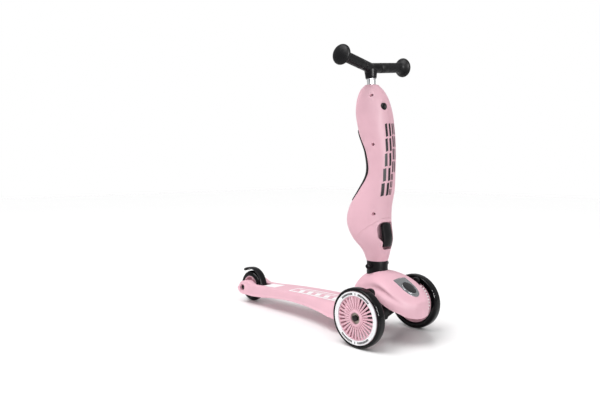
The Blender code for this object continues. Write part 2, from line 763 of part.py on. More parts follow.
def deck():
    rings = deck_form(0, 0, 1, 12)
    crown_half = DECK_SECTIONS[-1][2]
    rings.append(deck_ring(WHEELBASE - EAR_SETBACK / 2, EAR_HALF_WIDTH - 0.0005, crown_half,
                           REAR_WHEEL_RADIUS - EAR_RADIUS, REAR_WHEEL_RADIUS + EAR_RADIUS))
    for i in range(5):
        angle = math.pi / 2 * i / 5
        reach = EAR_RADIUS * math.cos(angle)
        rings.append(deck_ring(WHEELBASE + EAR_RADIUS * math.sin(angle), EAR_HALF_WIDTH,
                               crown_half, REAR_WHEEL_RADIUS - reach, REAR_WHEEL_RADIUS + reach))
    piece = finish("deck", loft(rings), PINK)
    cut(piece, loft(deck_form(DECK_WALL, 0.012, 0.875, 8, 0.02)))
    first, last_rib = DECK_FRONT + 0.055, FORK_FRONT - 0.020
    for i in range(DECK_CROSS_RIBS):
        y = first + (last_rib - first) * i / (DECK_CROSS_RIBS - 1)
        join(piece, loft([deck_rib_ring(y - DECK_RIB / 2), deck_rib_ring(y + DECK_RIB / 2)]))
    join(piece, deck_spine())
    slot = rounded([(-FORK_GAP / 2, FORK_FRONT, 0.008), (FORK_GAP / 2, FORK_FRONT, 0.008),
                    (FORK_GAP / 2, WHEELBASE + 0.05, 0), (-FORK_GAP / 2, WHEELBASE + 0.05, 0)])
    cut(piece, plate(slot, 2 * FAR, Matrix.Identity(4)))
    axle = (WHEELBASE, REAR_WHEEL_RADIUS)
    bearing_face = REAR_OUTER_SEAT + BEARING_WIDTH + GAP
    for side in (-1, 1):
        join(piece, rod((side * bearing_face, *axle), (side * (FORK_GAP / 2 + 0.002), *axle),
                        AXLE_RADIUS + 0.0025, 16))
    cut(piece, rod((-FAR, *axle), (FAR, *axle), AXLE_RADIUS + GAP, 16))
    for side in (-1, 1):
        floor = side * (EAR_HALF_WIDTH - EAR_RECESS_DEPTH)
        cut(piece, rod((floor, *axle), (side * FAR, *axle), EAR_RECESS_RADIUS, 20))
    pin = fender_pin_place()
    reach = FORK_GAP / 2 + FENDER_PIN_SEAT
    cut(piece, rod((-reach, pin.y, pin.z), (reach, pin.y, pin.z), FENDER_PIN_RADIUS + GAP, 12))
    for x, y in base_screw_places():
        cut(piece, rod((x, y, 0), (x, y, FAR), BASE_SCREW_RADIUS + GAP, 12))
    return piece


# Brake fender

def fender_pin_place():
    return Vector((0, WHEELBASE - FENDER_PIN_SETBACK, REAR_WHEEL_RADIUS + FENDER_PIN_RISE))


def arc(centre, radius, start, end, steps):
    return [(centre[0] + radius * math.cos(start + (end - start) * i / steps),
             centre[1] + radius * math.sin(start + (end - start) * i / steps))
            for i in range(steps + 1)]


def brake():
    pin = fender_pin_place()
    pivot = empty("brake_pivot", pin, ROOT)
    middle = (WHEELBASE + FENDER_SETBACK, REAR_WHEEL_RADIUS + FENDER_RISE)
    inner = FENDER_RADIUS - FENDER_THICKNESS
    boss = FENDER_PIN_RADIUS + FENDER_BOSS_WALL
    lip = (middle[0] + FENDER_LIP_REACH, middle[1] + FENDER_LIP_RISE)
    outline = arc(middle, FENDER_RADIUS, math.radians(168), math.radians(74), 9)
    outline += arc(lip, FENDER_THICKNESS / 2, math.radians(70), math.radians(-110), 4)
    outline += arc(middle, inner, math.radians(66), math.radians(166), 9)
    outline += arc((pin.y, pin.z), boss, math.radians(-20), math.radians(-230), 7)
    mesh = plate(outline, FENDER_WIDTH, SIDE_VIEW)
    piece = finish("brake_fender", mesh, BLACK, pivot, pin)
    bevel = piece.modifiers.new("edges", "BEVEL")
    bevel.width = 0.0012
    bevel.segments = 1
    bevel.limit_method = "ANGLE"
    bevel.angle_limit = math.radians(50)
    cut(piece, rod((-0.05, pin.y, pin.z), (0.05, pin.y, pin.z), FENDER_PIN_RADIUS + GAP, 16))
    spring_half = 0.0055
    cut(piece, rod((-spring_half, pin.y, pin.z), (spring_half, pin.y, pin.z), boss + 0.0016, 20))
    reach = FORK_GAP / 2 + FENDER_PIN_SEAT - GAP
    finish("brake_pin", rod((-reach, pin.y, pin.z), (reach, pin.y, pin.z), FENDER_PIN_RADIUS, 16),
           STEEL)
    wire = 0.0006
    coil("brake_spring", ROOT, (-spring_half + 0.0012, pin.y, pin.z), (1, 0, 0),
         FENDER_PIN_RADIUS + GAP + wire + 0.0004, wire, 3, 2 * spring_half - 0.0024, STEEL)


# Truck that carries the front wheels and leans on its kingpin

KINGPIN = Vector((0, -math.sin(KINGPIN_TILT), math.cos(KINGPIN_TILT)))
KINGPIN_CENTRE = Vector((0, 0, TRUCK_HEIGHT))
ARM_END = FRONT_TRACK / 2 - FRONT_WHEEL_WIDTH / 2 - TRUCK_INNER_GAP


def truck_section(x, front, back, bottom, top):
    middle_y, middle_z = (front + back) / 2, (bottom + top) / 2
    return [(x, middle_y + y, middle_z + z)
            for y, z in superellipse((back - front) / 2, (top - bottom) / 2, 4, 12)]


def truck():
    """Arms from wheel to wheel with an inclined hub in the middle and an upright at each end."""
    holder = empty("truck_axis", KINGPIN_CENTRE, ROOT)
    half = (
        (0.000, -0.011, 0.011, 0.054, 0.070),
        (0.020, -0.015, 0.014, 0.050, 0.074),
        (0.030, -0.023, 0.018, 0.045, 0.077),
        (ARM_END - 0.012, -0.024, 0.018, 0.043, 0.078),
        (ARM_END, -0.019, 0.016, 0.045, 0.075),
    )
    stations = [(-x, *rest) for x, *rest in half[:0:-1]] + list(half)
    piece = finish("front_truck", loft([truck_section(*row) for row in stations]), BLACK, holder,
                   KINGPIN_CENTRE)
    reach = KINGPIN * TRUCK_HUB_LENGTH / 2
    join(piece, rod(KINGPIN_CENTRE - reach, KINGPIN_CENTRE + reach, TRUCK_HUB_RADIUS, 20))
    foot, head = FRONT_WHEEL_RADIUS, FRONT_WHEEL_RADIUS + UPRIGHT_HEIGHT
    upright = rounded([(-0.016, foot, 0), (0.010, foot, 0), (-0.006, head, 0.006),
                       (-0.024, head, 0.008)])
    for side in (-1, 1):
        place = Matrix.Translation((side * (ARM_END - 0.0065), 0, 0)) @ SIDE_VIEW
        join(piece, plate(upright, 0.009, place))
        nose = side * (FRONT_TRACK / 2 - FRONT_WHEEL_WIDTH / 2 + 0.0005 - GAP)
        join(piece, rod((side * (ARM_END - 0.004), 0, FRONT_WHEEL_RADIUS),
                        (nose, 0, FRONT_WHEEL_RADIUS), AXLE_RADIUS + 0.0028, 12))
        cut(piece, rod((side * (AXLE_END - 0.001), 0, FRONT_WHEEL_RADIUS),
                       (side * 0.12, 0, FRONT_WHEEL_RADIUS), AXLE_RADIUS + GAP, 12))
    cut(piece, rod(KINGPIN_CENTRE - 2 * reach, KINGPIN_CENTRE + 2 * reach,
                   KINGPIN_RADIUS + GAP, 12))
    return holder


def kingpin():
    """The bolt, its nut and the rubber ring that centres the truck."""
    half = TRUCK_HUB_LENGTH / 2
    head = KINGPIN_CENTRE - KINGPIN * (half + GAP)
    length = TRUCK_HUB_LENGTH + BUSHING_THICKNESS + BOSS_LENGTH + 3 * GAP + 0.006
    bolt("kingpin_bolt", ROOT, head, KINGPIN, length, 0.008, 0.005, KINGPIN_RADIUS)
    turn = KINGPIN.to_track_quat("Z", "Y").to_euler()
    low = half + GAP
    bushing = tube_profile(KINGPIN_RADIUS + GAP, TRUCK_HUB_RADIUS - 0.001, low,
                           low + BUSHING_THICKNESS)
    turned("kingpin_bushing", bushing, RUBBER, ROOT, KINGPIN_CENTRE, turn, 24)
    top = low + BUSHING_THICKNESS + GAP + BOSS_LENGTH + GAP
    nut("kingpin_nut", ROOT, KINGPIN_CENTRE + KINGPIN * top, KINGPIN, KINGPIN_RADIUS + GAP,
        0.0075, 0.005)


# Column base, which bolts the column to the deck and holds the kingpin

def base_screw_places():
    inset = 0.007
    return [(side * (BASE_HALF_WIDTH - inset), y) for side in (-1, 1)
            for y in (BASE_FRONT + inset, BASE_BACK - inset)]


def column():
    sleeve_inner = NECK_TUBE_RADIUS + GAP
    sleeve_outer = sleeve_inner + COLUMN_WALL
    foot = DECK_TOP + GAP
    piece = finish("column_base", box((-BASE_HALF_WIDTH, BASE_FRONT, foot),
                                      (BASE_HALF_WIDTH, BASE_BACK, foot + BASE_THICKNESS), 0.0015),
                   BLACK)
    tower = [
        superellipse(0.022, (BASE_BACK - BASE_FRONT) / 2 - 0.003, 4, 12),
        superellipse(0.019, 0.013, 3, 12),
        superellipse(0.014, 0.010, 2.5, 12),
    ]
    middle = (BASE_FRONT + BASE_BACK) / 2
    places = ((middle, foot + BASE_THICKNESS / 2), (middle - 0.012, COLUMN_BOTTOM + 0.008),
              (COLUMN_Y + sleeve_outer - 0.010, COLUMN_BOTTOM + 0.036))
    join(piece, loft([[(x, y + shift, z) for x, y in ring]
                      for ring, (shift, z) in zip(tower, places)]))
    join(piece, rod((0, COLUMN_Y, COLUMN_BOTTOM), (0, COLUMN_Y, COLUMN_TOP), sleeve_outer, 24))
    face = KINGPIN_CENTRE + KINGPIN * (TRUCK_HUB_LENGTH / 2 + BUSHING_THICKNESS + 2 * GAP)
    end = face + KINGPIN * BOSS_LENGTH
    join(piece, rod(face, end, TRUCK_HUB_RADIUS - 0.001, 20))
    join(piece, box((-0.010, end.y + 0.002, COLUMN_BOTTOM + 0.013),
                    (0.010, COLUMN_Y - sleeve_inner + 0.0005, COLUMN_BOTTOM + 0.032), 0.002))
    cut(piece, rod((0, COLUMN_Y, COLUMN_BOTTOM + 0.006), (0, COLUMN_Y, COLUMN_TOP + 0.01),
                   sleeve_inner, 24))
    cut(piece, rod(face - KINGPIN * 0.002, end + KINGPIN * 0.002, KINGPIN_RADIUS + GAP, 12))
    cut(piece, rod(end + KINGPIN * GAP, end + KINGPIN * 0.03, 0.0095, 14))
    for x, y in base_screw_places():
        cut(piece, rod((x, y, 0), (x, y, foot + BASE_THICKNESS - 0.001), BASE_SCREW_RADIUS + GAP,
                       12))
    for side in (-1, 1):
        cut(piece, rod((side * (sleeve_inner - 0.002), COLUMN_Y, KNOB_HEIGHT),
                       (side * 0.05, COLUMN_Y, KNOB_HEIGHT), KNOB_STEM_RADIUS + GAP, 10))
    base_screws()
    collar(sleeve_outer)


def base_screws():
    """Four screws that come up through the deck into the column base."""
    head_top = DECK_TOP - DECK_WALL - GAP
    tip = DECK_TOP + BASE_THICKNESS - 0.0015
    for i, (x, y) in enumerate(base_screw_places()):
        bolt(f"deck_screw_{i + 1}", ROOT, (x, y, head_top), (0, 0, 1), tip - head_top, 0.0048,
             0.003, BASE_SCREW_RADIUS)


def collar(sleeve_outer):
    inner = sleeve_outer + GAP
    outer = inner + COLLAR_WALL
    lip = NECK_TUBE_RADIUS + GAP
    profile = [
        (outer - 0.0008, COLLAR_TOP), (outer, COLLAR_TOP - 0.0008), (outer, COLLAR_BOTTOM),
        (inner, COLLAR_BOTTOM), (inner, COLUMN_TOP + GAP), (lip, COLUMN_TOP + GAP),
        (lip, COLLAR_TOP),
    ]
    piece = turned("collar", profile, BLACK, ROOT, (0, COLUMN_Y, 0), steps=24)
    for name, side in (("right_collar_knob", -1), ("left_collar_knob", 1)):
        cut(piece, rod((side * (inner - 0.002), COLUMN_Y, KNOB_HEIGHT),
                       (side * 0.05, COLUMN_Y, KNOB_HEIGHT), KNOB_STEM_RADIUS + GAP, 10))
        axis = empty(f"{name}_axis", (side * outer, COLUMN_Y, KNOB_HEIGHT), ROOT)
        start = outer + GAP
        knob = [
            (0, KNOB_REACH), (KNOB_RADIUS - 0.0015, KNOB_REACH),
            (KNOB_RADIUS, KNOB_REACH - 0.0015), (KNOB_RADIUS, start + 0.001),
            (KNOB_RADIUS - 0.001, start), (KNOB_STEM_RADIUS, start),
            (KNOB_STEM_RADIUS, NECK_TUBE_RADIUS + SLIDE_GAP),
            (0, NECK_TUBE_RADIUS + SLIDE_GAP),
        ]
        turned(name, [(radius, height - outer) for radius, height in knob], BLACK, axis,
               (side * outer, COLUMN_Y, KNOB_HEIGHT), (0, side * math.pi / 2, 0), 14,
               closed=False)
    return piece


# Stem form

def spine(share):
    return COLUMN_Y + STEM_SETBACK * share


def stem_ring(height, inset):
    share = (height - COLLAR_TOP) / (STEM_TOP - COLLAR_TOP)
    half_width, front, back = curve_through(STEM_STATIONS, share)
    front_y = spine(share) + front * STEM_DEPTH + inset
    back_y = spine(share) + back * STEM_DEPTH - inset
    ring = superellipse(half_width * STEM_HALF_WIDTH - inset, (back_y - front_y) / 2,
                        STEM_EXPONENT, 24)
    return [(x, (front_y + back_y) / 2 + y, height) for x, y in ring]


def stem_form(low, high, inset=0.0, rings=16):
    """The stem's skin between two heights, with its rings closer together near the ends."""
    shares = [0.5 * i / rings + 0.25 * (1 - math.cos(math.pi * i / rings))
              for i in range(rings + 1)]
    return loft([stem_ring(low + (high - low) * share, inset) for share in shares])


SEAM_AXIS = Vector((0, math.sin(SEAM_TILT), math.cos(SEAM_TILT)))
PIVOT = Vector((0, COLUMN_Y + SEAM_SETBACK, SEAM_HEIGHT))
SEAM_PLAY = SEAM_AXIS * GAP * 0.7


def neck():
    holder = empty("neck_slide", (0, COLUMN_Y, COLLAR_TOP), ROOT)
    foot = COLLAR_TOP + GAP
    blank_top = SEAM_HEIGHT + NECK_BLANK_RISE
    mesh = sliced(stem_form(foot, blank_top, 0, 12), PIVOT - SEAM_PLAY, SEAM_AXIS)
    piece = finish("neck", mesh, PINK, holder, (0, COLUMN_Y, COLLAR_TOP))
    hollow = sliced(stem_form(COLLAR_TOP + NECK_FLOOR, blank_top, NECK_WALL, 8),
                    PIVOT + SEAM_AXIS * 0.01, SEAM_AXIS)
    cut(piece, hollow)
    cut(piece, rod(PIVOT - SEAM_AXIS * (SWIVEL_THICKNESS + 2 * GAP), PIVOT + SEAM_AXIS * 0.01,
                   SWIVEL_RADIUS + GAP, 28))
    cut(piece, plate(window_outline(), 0.030, Matrix.Translation((0, 0.002, 0)) @ FRONT_VIEW))
    seat_top = foot + NECK_TUBE_SEAT
    cut(piece, rod((0, COLUMN_Y, foot - 0.01), (0, COLUMN_Y, seat_top), NECK_TUBE_RADIUS + GAP, 24))
    pin_y = lever_pin_y()
    pin_reach = WINDOW_WAIST + LEVER_PIN_SEAT
    cut(piece, rod((-pin_reach, pin_y, LEVER_PIN_HEIGHT), (pin_reach, pin_y, LEVER_PIN_HEIGHT),
                   LEVER_PIN_RADIUS + GAP, 12))
    tube = tube_profile(NECK_TUBE_RADIUS - NECK_TUBE_WALL, NECK_TUBE_RADIUS, NECK_TUBE_BOTTOM,
                        seat_top - GAP)
    turned("neck_tube", tube, STEEL, holder, (0, COLUMN_Y, 0), steps=24)
    return holder


def window_outline():
    """The window in the neck, wide above and narrow below, from the front."""
    half = [(WINDOW_HALF_WIDTH, WINDOW_TOP, 0.010), (WINDOW_HALF_WIDTH, WINDOW_SHOULDER, 0.005),
            (WINDOW_WAIST, WINDOW_WAIST_TOP, 0.004), (WINDOW_WAIST, WINDOW_BOTTOM, 0.006)]
    mirrored = [(-x, y, radius) for x, y, radius in half[::-1]]
    return rounded(half + mirrored)


def lever_pin_y():
    share = (LEVER_PIN_HEIGHT - COLLAR_TOP) / (STEM_TOP - COLLAR_TOP)
    front = curve_through(STEM_STATIONS, share)[1]
    return spine(share) + front * STEM_DEPTH + LEVER_THICKNESS + LEVER_BARREL_RADIUS - 0.0015


def lever(neck_holder):
    """A paddle that follows the neck's front, with a barrel on its pin."""
    pin = Vector((0, lever_pin_y(), LEVER_PIN_HEIGHT))
    axis = empty("lever_axis", pin, ROOT)
    top = WINDOW_TOP - LEVER_MARGIN
    bottom = WINDOW_BOTTOM + LEVER_MARGIN
    skin = stem_form(COLLAR_TOP + 0.01, SEAM_HEIGHT + 0.04, 0, 8)
    piece = finish("safety_lever", skin, BLACK, axis, pin)
    outline = rounded([(-LEVER_HALF_WIDTH, bottom, 0.005), (LEVER_HALF_WIDTH, bottom, 0.005),
                       (LEVER_HALF_WIDTH, top, 0.004), (-LEVER_HALF_WIDTH, top, 0.004)])
    block = cutter(plate(outline, 0.040, Matrix.Translation((0, 0.0, 0)) @ FRONT_VIEW))
    combine(piece, block, "INTERSECT")
    cut(piece, stem_form(COLLAR_TOP - 0.01, SEAM_HEIGHT + 0.06, LEVER_THICKNESS, 8))
    reach = LEVER_HALF_WIDTH - 0.001
    join(piece, rod((-reach, pin.y, pin.z), (reach, pin.y, pin.z), LEVER_BARREL_RADIUS, 20))
    cut(piece, rod((-0.03, pin.y, pin.z), (0.03, pin.y, pin.z), LEVER_PIN_RADIUS + GAP, 16))
    pin_reach = WINDOW_WAIST + LEVER_PIN_SEAT - GAP
    finish("lever_pin", rod((-pin_reach, pin.y, pin.z), (pin_reach, pin.y, pin.z),
                            LEVER_PIN_RADIUS, 16), STEEL, neck_holder, pin)


def swivel(neck_holder, seat_holder):
    """Two plates face to face on the seam, the bolt through them and its nut."""
    turn = SEAM_AXIS.to_track_quat("Z", "Y").to_euler()
    bore = SWIVEL_BOLT_RADIUS + GAP
    lower = tube_profile(bore, SWIVEL_RADIUS, -GAP / 2 - SWIVEL_THICKNESS, -GAP / 2)
    upper = tube_profile(bore, SWIVEL_RADIUS, GAP / 2, GAP / 2 + SWIVEL_THICKNESS)
    turned("swivel_plate_lower", lower, STEEL, neck_holder, PIVOT, turn, 28)
    turned("swivel_plate_upper", upper, STEEL, seat_holder, PIVOT, turn, 28)
    head = PIVOT - SEAM_AXIS * (SWIVEL_THICKNESS + 1.5 * GAP)
    nut_low = SHELL_FLOOR + GAP
    bolt("swivel_bolt", neck_holder, head, SEAM_AXIS,
         SWIVEL_THICKNESS + nut_low + SWIVEL_NUT_HEIGHT, 0.009, 0.005, SWIVEL_BOLT_RADIUS)
    nut("swivel_nut", seat_holder, PIVOT + SEAM_AXIS * nut_low, SEAM_AXIS, bore,
        SWIVEL_NUT_RADIUS, SWIVEL_NUT_HEIGHT)


# Post line, which rakes back through the top of the stem

POST_AXIS = Vector((0, math.sin(POST_RAKE), math.cos(POST_RAKE)))
POST_TOP = Vector((0, spine(1.0), STEM_TOP))
GUIDE_RADIUS = POST_RADIUS + SLIDE_GAP + GUIDE_WALL


def along_post(distance):
    """A point on the post's line, measured up from the top of the stem."""
    return POST_TOP + POST_AXIS * distance


RIDE_AXIS = Vector((0, math.sin(2 * SEAM_TILT), math.cos(2 * SEAM_TILT)))


def ride_socket_mouth():
    share = (RIDE_SOCKET_HEIGHT - COLLAR_TOP) / (STEM_TOP - COLLAR_TOP)
    back = curve_through(STEM_STATIONS, share)[2]
    return Vector((0, spine(share) + back * STEM_DEPTH - 0.001, RIDE_SOCKET_HEIGHT))


def button_axis():
    """The button's line: level, towards the post from the front right."""
    outwards = Vector((-math.sin(BUTTON_TURN), -math.cos(BUTTON_TURN), 0))
    on_post = along_post((BUTTON_HEIGHT - STEM_TOP) / math.cos(POST_RAKE))
    return on_post, outwards


def skin_reach(point, direction, inset=0.0):
    """How far the stem's skin lies from a point inside it, level and along a direction."""
    share = (point.z - COLLAR_TOP) / (STEM_TOP - COLLAR_TOP)
    half_width, front, back = curve_through(STEM_STATIONS, share)
    centre_y = spine(share) + (front + back) / 2 * STEM_DEPTH
    half_x = half_width * STEM_HALF_WIDTH - inset
    half_y = (back - front) / 2 * STEM_DEPTH - inset
    low, high = 0.0, STEM_DEPTH
    for _ in range(40):
        middle = (low + high) / 2
        trial = point + direction * middle
        across = abs(trial.x / half_x) ** STEM_EXPONENT
        along = abs((trial.y - centre_y) / half_y) ** STEM_EXPONENT
        inside = across + along < 1
        low, high = (middle, high) if inside else (low, middle)
    return low


def screw_places():
    heights = (*SCREW_HEIGHTS, SEAM_HEIGHT + LOW_SCREW_RISE)
    return [Vector((0, y, z)) for y, z in zip(SCREW_SETBACKS, heights)]


def seat_cavity():
    """What the two shells leave open: the inner form, less bulkheads and screw bosses."""
    inner = sliced(stem_form(COLLAR_TOP + 0.02, STEM_TOP - 0.006, SHELL_WALL, 10),
                   PIVOT + SEAM_AXIS * SHELL_FLOOR, -SEAM_AXIS)
    cavity = finish("seat_cavity", inner, PINK)
    for distance in (-0.018, -0.137):
        z = along_post(distance).z
        cut(cavity, box((-FAR, -FAR, z - 0.0015), (FAR, FAR, z + 0.0015)))
    mouth = ride_socket_mouth()
    at = mouth - RIDE_AXIS * RIDE_SOCKET_LENGTH * 0.85
    cut(cavity, box((-FAR, at.y - 0.0015, at.z - 0.022), (FAR, at.y + 0.0015, at.z + 0.022)))
    for place in screw_places():
        cut(cavity, rod(place - Vector((0.1, 0, 0)), place + Vector((0.1, 0, 0)),
                        SCREW_BOSS_RADIUS, 16))
    return cavity


def seat_shells(holder):
    """The left and right halves of the seat, hollow and split down the middle."""
    mouth = ride_socket_mouth()
    on_post, outwards = button_axis()
    skin = skin_reach(on_post, outwards)
    for name, side in (("seat_shell_right", -1), ("seat_shell_left", 1)):
        mesh = sliced(stem_form(COLLAR_TOP + 0.015, STEM_TOP), PIVOT + SEAM_PLAY, -SEAM_AXIS)
        sliced(mesh, (side * GAP / 2, 0, 0), (-side, 0, 0))
        piece = finish(name, mesh, PINK, holder, PIVOT)
        cut(piece, seat_cavity())
        cut(piece, rod(PIVOT - SEAM_AXIS * 0.01, PIVOT + SEAM_AXIS * (SWIVEL_THICKNESS + 2 * GAP),
                       SWIVEL_RADIUS + GAP, 28))
        cut(piece, rod(PIVOT, PIVOT + SEAM_AXIS * 0.02, SWIVEL_BOLT_RADIUS + GAP, 16))
        cut(piece, rod(along_post(-GUIDE_LENGTH - 0.02), along_post(-GUIDE_TOP_INSET + GAP),
                       GUIDE_RADIUS + GAP, 20))
        cut(piece, rod(along_post(-0.02), along_post(0.02), POST_RADIUS + 0.001, 20))
        cut(piece, rod(mouth + RIDE_AXIS * 0.02, mouth - RIDE_AXIS * (RIDE_SOCKET_LENGTH + 0.001),
                       GUIDE_RADIUS + GAP, 20))
        for place in screw_places():
            skin_side = skin_reach(place, Vector((-1, 0, 0)))
            cut(piece, rod(place - Vector((skin_side - SCREW_RECESS, 0, 0)),
                           place - Vector((0.1, 0, 0)), SCREW_HEAD_RADIUS + 0.0004, 16))
            cut(piece, rod(place - Vector((0.1, 0, 0)), place + Vector((0.012, 0, 0)),
                           SCREW_SHAFT_RADIUS + GAP, 12))
        if side < 0:
            cut(piece, rod(on_post + outwards * (skin - BUTTON_DEPTH - BUTTON_TRAVEL - 0.001),
                           on_post + outwards * (skin + 0.02), BUTTON_RADIUS + SLIDE_GAP, 28))
            cut(piece, rod(on_post, on_post + outwards * skin, BUTTON_STEM_RADIUS + SLIDE_GAP, 16))


def shell_screws(holder):
    """Three screws from the right shell into the bosses of the left one."""
    for i, place in enumerate(screw_places()):
        under_head = skin_reach(place, Vector((-1, 0, 0))) - SCREW_RECESS - GAP
        bolt(f"shell_screw_{i + 1}", holder, place - Vector((under_head + 2 * GAP, 0, 0)),
             (1, 0, 0), under_head + 0.010, SCREW_HEAD_RADIUS, 0.002, SCREW_SHAFT_RADIUS)


def seat_pad(holder):
    """A strip on the rear face of the seat, its edges thinned to the skin."""
    rows, columns = 12, 6

    def build(work):
        grid = []
        for i in range(rows + 1):
            height = PAD_BOTTOM + (PAD_TOP - PAD_BOTTOM) * i / rows
            share = (height - COLLAR_TOP) / (STEM_TOP - COLLAR_TOP)
            half_width, front, back = curve_through(STEM_STATIONS, share)
            half_x = half_width * STEM_HALF_WIDTH
            half_y = (back - front) / 2 * STEM_DEPTH
            centre_y = spine(share) + (front + back) / 2 * STEM_DEPTH
            row = []
            taper = math.sqrt(max(0.0, 1 - abs(2 * i / rows - 1) ** 4))
            for j in range(columns + 1):
                x = PAD_HALF_WIDTH * (0.55 + 0.45 * taper) * (2 * j / columns - 1)
                rest = 1 - abs(x / half_x) ** STEM_EXPONENT
                y = centre_y + half_y * rest ** (1 / STEM_EXPONENT)
                row.append(work.verts.new((x, y - PAD_SINK, height)))
            grid.append(row)
        for low, high in zip(grid, grid[1:]):
            for j in range(columns):
                work.faces.new((low[j], high[j], high[j + 1], low[j + 1]))
    mesh = mesh_from(build)
    if mesh.polygons[len(mesh.polygons) // 2].normal.y < 0:
        mesh.flip_normals()
    piece = finish("seat_pad", mesh, RUBBER, holder, PIVOT)
    shell = piece.modifiers.new("thickness", "SOLIDIFY")
    shell.thickness = PAD_THICKNESS + PAD_SINK
    shell.offset = 1
    shell.use_even_offset = True
    cut(piece, stem_form(COLLAR_TOP + 0.015, STEM_TOP, -GAP))
    return piece


def guide_and_socket(holder):
    """The tube that guides the post and the socket for it in the seat's lower bulge."""
    inner = POST_RADIUS + SLIDE_GAP
    turn = POST_AXIS.to_track_quat("Z", "Y").to_euler()
    guide = tube_profile(inner, GUIDE_RADIUS, -GUIDE_TOP_INSET - GUIDE_LENGTH, -GUIDE_TOP_INSET)
    piece = turned("guide_tube", guide, STEEL, holder, POST_TOP, turn, 20)
    on_post, outwards = button_axis()
    cut(piece, rod(on_post + outwards * 0.005, on_post + outwards * 0.03,
                   BUTTON_STEM_RADIUS + SLIDE_GAP, 16))
    turn = RIDE_AXIS.to_track_quat("Z", "Y").to_euler()
    mouth = ride_socket_mouth()
    socket = tube_profile(inner, GUIDE_RADIUS, -RIDE_SOCKET_LENGTH, 0)
    turned("ride_socket", socket, BLACK, holder, mouth, turn, 20)


def button(holder):
    on_post, outwards = button_axis()
    skin = skin_reach(on_post, outwards)
    seat = on_post + outwards * skin
    axis = empty("height_button_axis", seat, ROOT)
    tip = POST_RADIUS + SLIDE_GAP + BUTTON_TRAVEL
    profile = [(0, 0.0012), (BUTTON_RADIUS * 0.7, 0.0008), (BUTTON_RADIUS, -0.0006),
               (BUTTON_RADIUS, -BUTTON_DEPTH), (BUTTON_STEM_RADIUS, -BUTTON_DEPTH),
               (BUTTON_STEM_RADIUS, tip - skin), (0, tip - skin)]
    turn = outwards.to_track_quat("Z", "Y").to_euler()
    turned("height_button", profile, BLACK, axis, seat, turn, 18, closed=False)


# Handlebar

def handlebar():
    holder = empty("handlebar_slide", POST_TOP, ROOT)
    turn = POST_AXIS.to_track_quat("Z", "Y").to_euler()
    low = -POST_LENGTH + POST_SHOWING + 0.010
    post_high = POST_SHOWING + SOCKET_HEIGHT * 0.6
    post = tube_profile(POST_RADIUS - 0.0015, POST_RADIUS, low, post_high)
    turned("handlebar_post", post, CHROME, holder, POST_TOP, turn, 24)
    middle = along_post(POST_SHOWING + SOCKET_HEIGHT)
    socket = rod(along_post(POST_SHOWING), along_post(POST_SHOWING + SOCKET_HEIGHT * 0.85),
                 SOCKET_RADIUS * 0.84, 20, SOCKET_RADIUS)
    piece = finish("handlebar_core", socket, BLACK, holder, POST_TOP)
    for name, side in (("grip_right", -1), ("grip_left", 1)):
        end = middle + Vector((side * BAR_SPAN, -BAR_SWEEP, BAR_RISE))
        along = (end - middle).normalized()
        join(piece, rod(middle - along * 0.004, middle + along * GRIP_START, BAR_RADIUS, 18))
        join(piece, rod(middle, end, BAR_CORE_RADIUS, 12))
        grip(name, middle, along, (end - middle).length, holder)
    cut(piece, rod(along_post(POST_SHOWING - 0.01), along_post(post_high + GAP),
                   POST_RADIUS + GAP, 20))


def grip(name, middle, along, reach, holder):
    """A rubber grip with a large domed end that guards the hand."""
    start = GRIP_START + GAP
    end = reach + GRIP_END_LENGTH / 2
    bore = BAR_CORE_RADIUS + GAP
    neck_start = reach - GRIP_END_LENGTH / 2 - 0.004
    profile = [(0, end)]
    steps = 4
    for i in range(1, steps + 1):
        angle = math.pi / 2 * i / steps
        profile.append((GRIP_END_RADIUS * math.sin(angle),
                        end - GRIP_END_LENGTH * 0.62 * (1 - math.cos(angle))))
    profile += [(GRIP_END_RADIUS * 0.93, reach - GRIP_END_LENGTH * 0.35),
                (BAR_RADIUS + 0.002, neck_start + 0.002), (BAR_RADIUS, neck_start - 0.004),
                (BAR_RADIUS, start), (bore, start), (bore, reach + GAP), (0, reach + GAP)]
    turn = along.to_track_quat("Z", "Y").to_euler()
    turned(name, profile, RUBBER, holder, middle, turn, 22, closed=False)


# Bonnet

def bonnet_section(y, inset=0.0):
    """A section across the bonnet, drawn in by inset, from curves along Y."""
    half_width, bottom, widest, top = curve_through(BONNET_SECTIONS, y)
    return [(x, widest + (z * (top - inset - widest) if z > 0 else z * (widest - bottom)))
            for x, z in superellipse(half_width - inset, 1, BONNET_EXPONENT, 24)]


def bonnet():
    skin = [[(x, row[0], z) for x, z in bonnet_section(row[0])] for row in BONNET_SECTIONS]
    piece = finish("front_bonnet", loft(skin), PINK)
    start, end = BONNET_SECTIONS[0][0], BONNET_SECTIONS[-1][0]
    steps = 10
    hollow = []
    for i in range(steps + 1):
        share = 0.5 * i / steps + 0.25 * (1 - math.cos(math.pi * i / steps))
        y = start + (end - start) * (0.01 + 0.98 * share)
        place = start + BONNET_WALL + (end - start - 2 * BONNET_WALL) * share
        hollow.append([(x, place, z) for x, z in bonnet_section(y, BONNET_WALL)])
    cut(piece, loft(hollow))
    collar_radius = NECK_TUBE_RADIUS + GAP + COLUMN_WALL + GAP + COLLAR_WALL
    cut(piece, rod((0, COLUMN_Y, COLLAR_BOTTOM - 0.02), (0, COLUMN_Y, FAR), collar_radius + GAP, 28))
    cut(piece, box((-FAR, DECK_FRONT - 0.006, 0), (FAR, FAR, DECK_TOP + GAP)))
    below = 0.020
    arch = [(NOSE_Y - 0.01, below), (NOSE_Y - 0.01, BONNET_RIM[0][1] - 0.004), *BONNET_RIM,
            (DECK_FRONT + 0.004, BONNET_RIM[-1][1] - 0.004), (DECK_FRONT + 0.004, below)]
    cut(piece, plate(arch, 0.3, SIDE_VIEW))
    badge(piece)


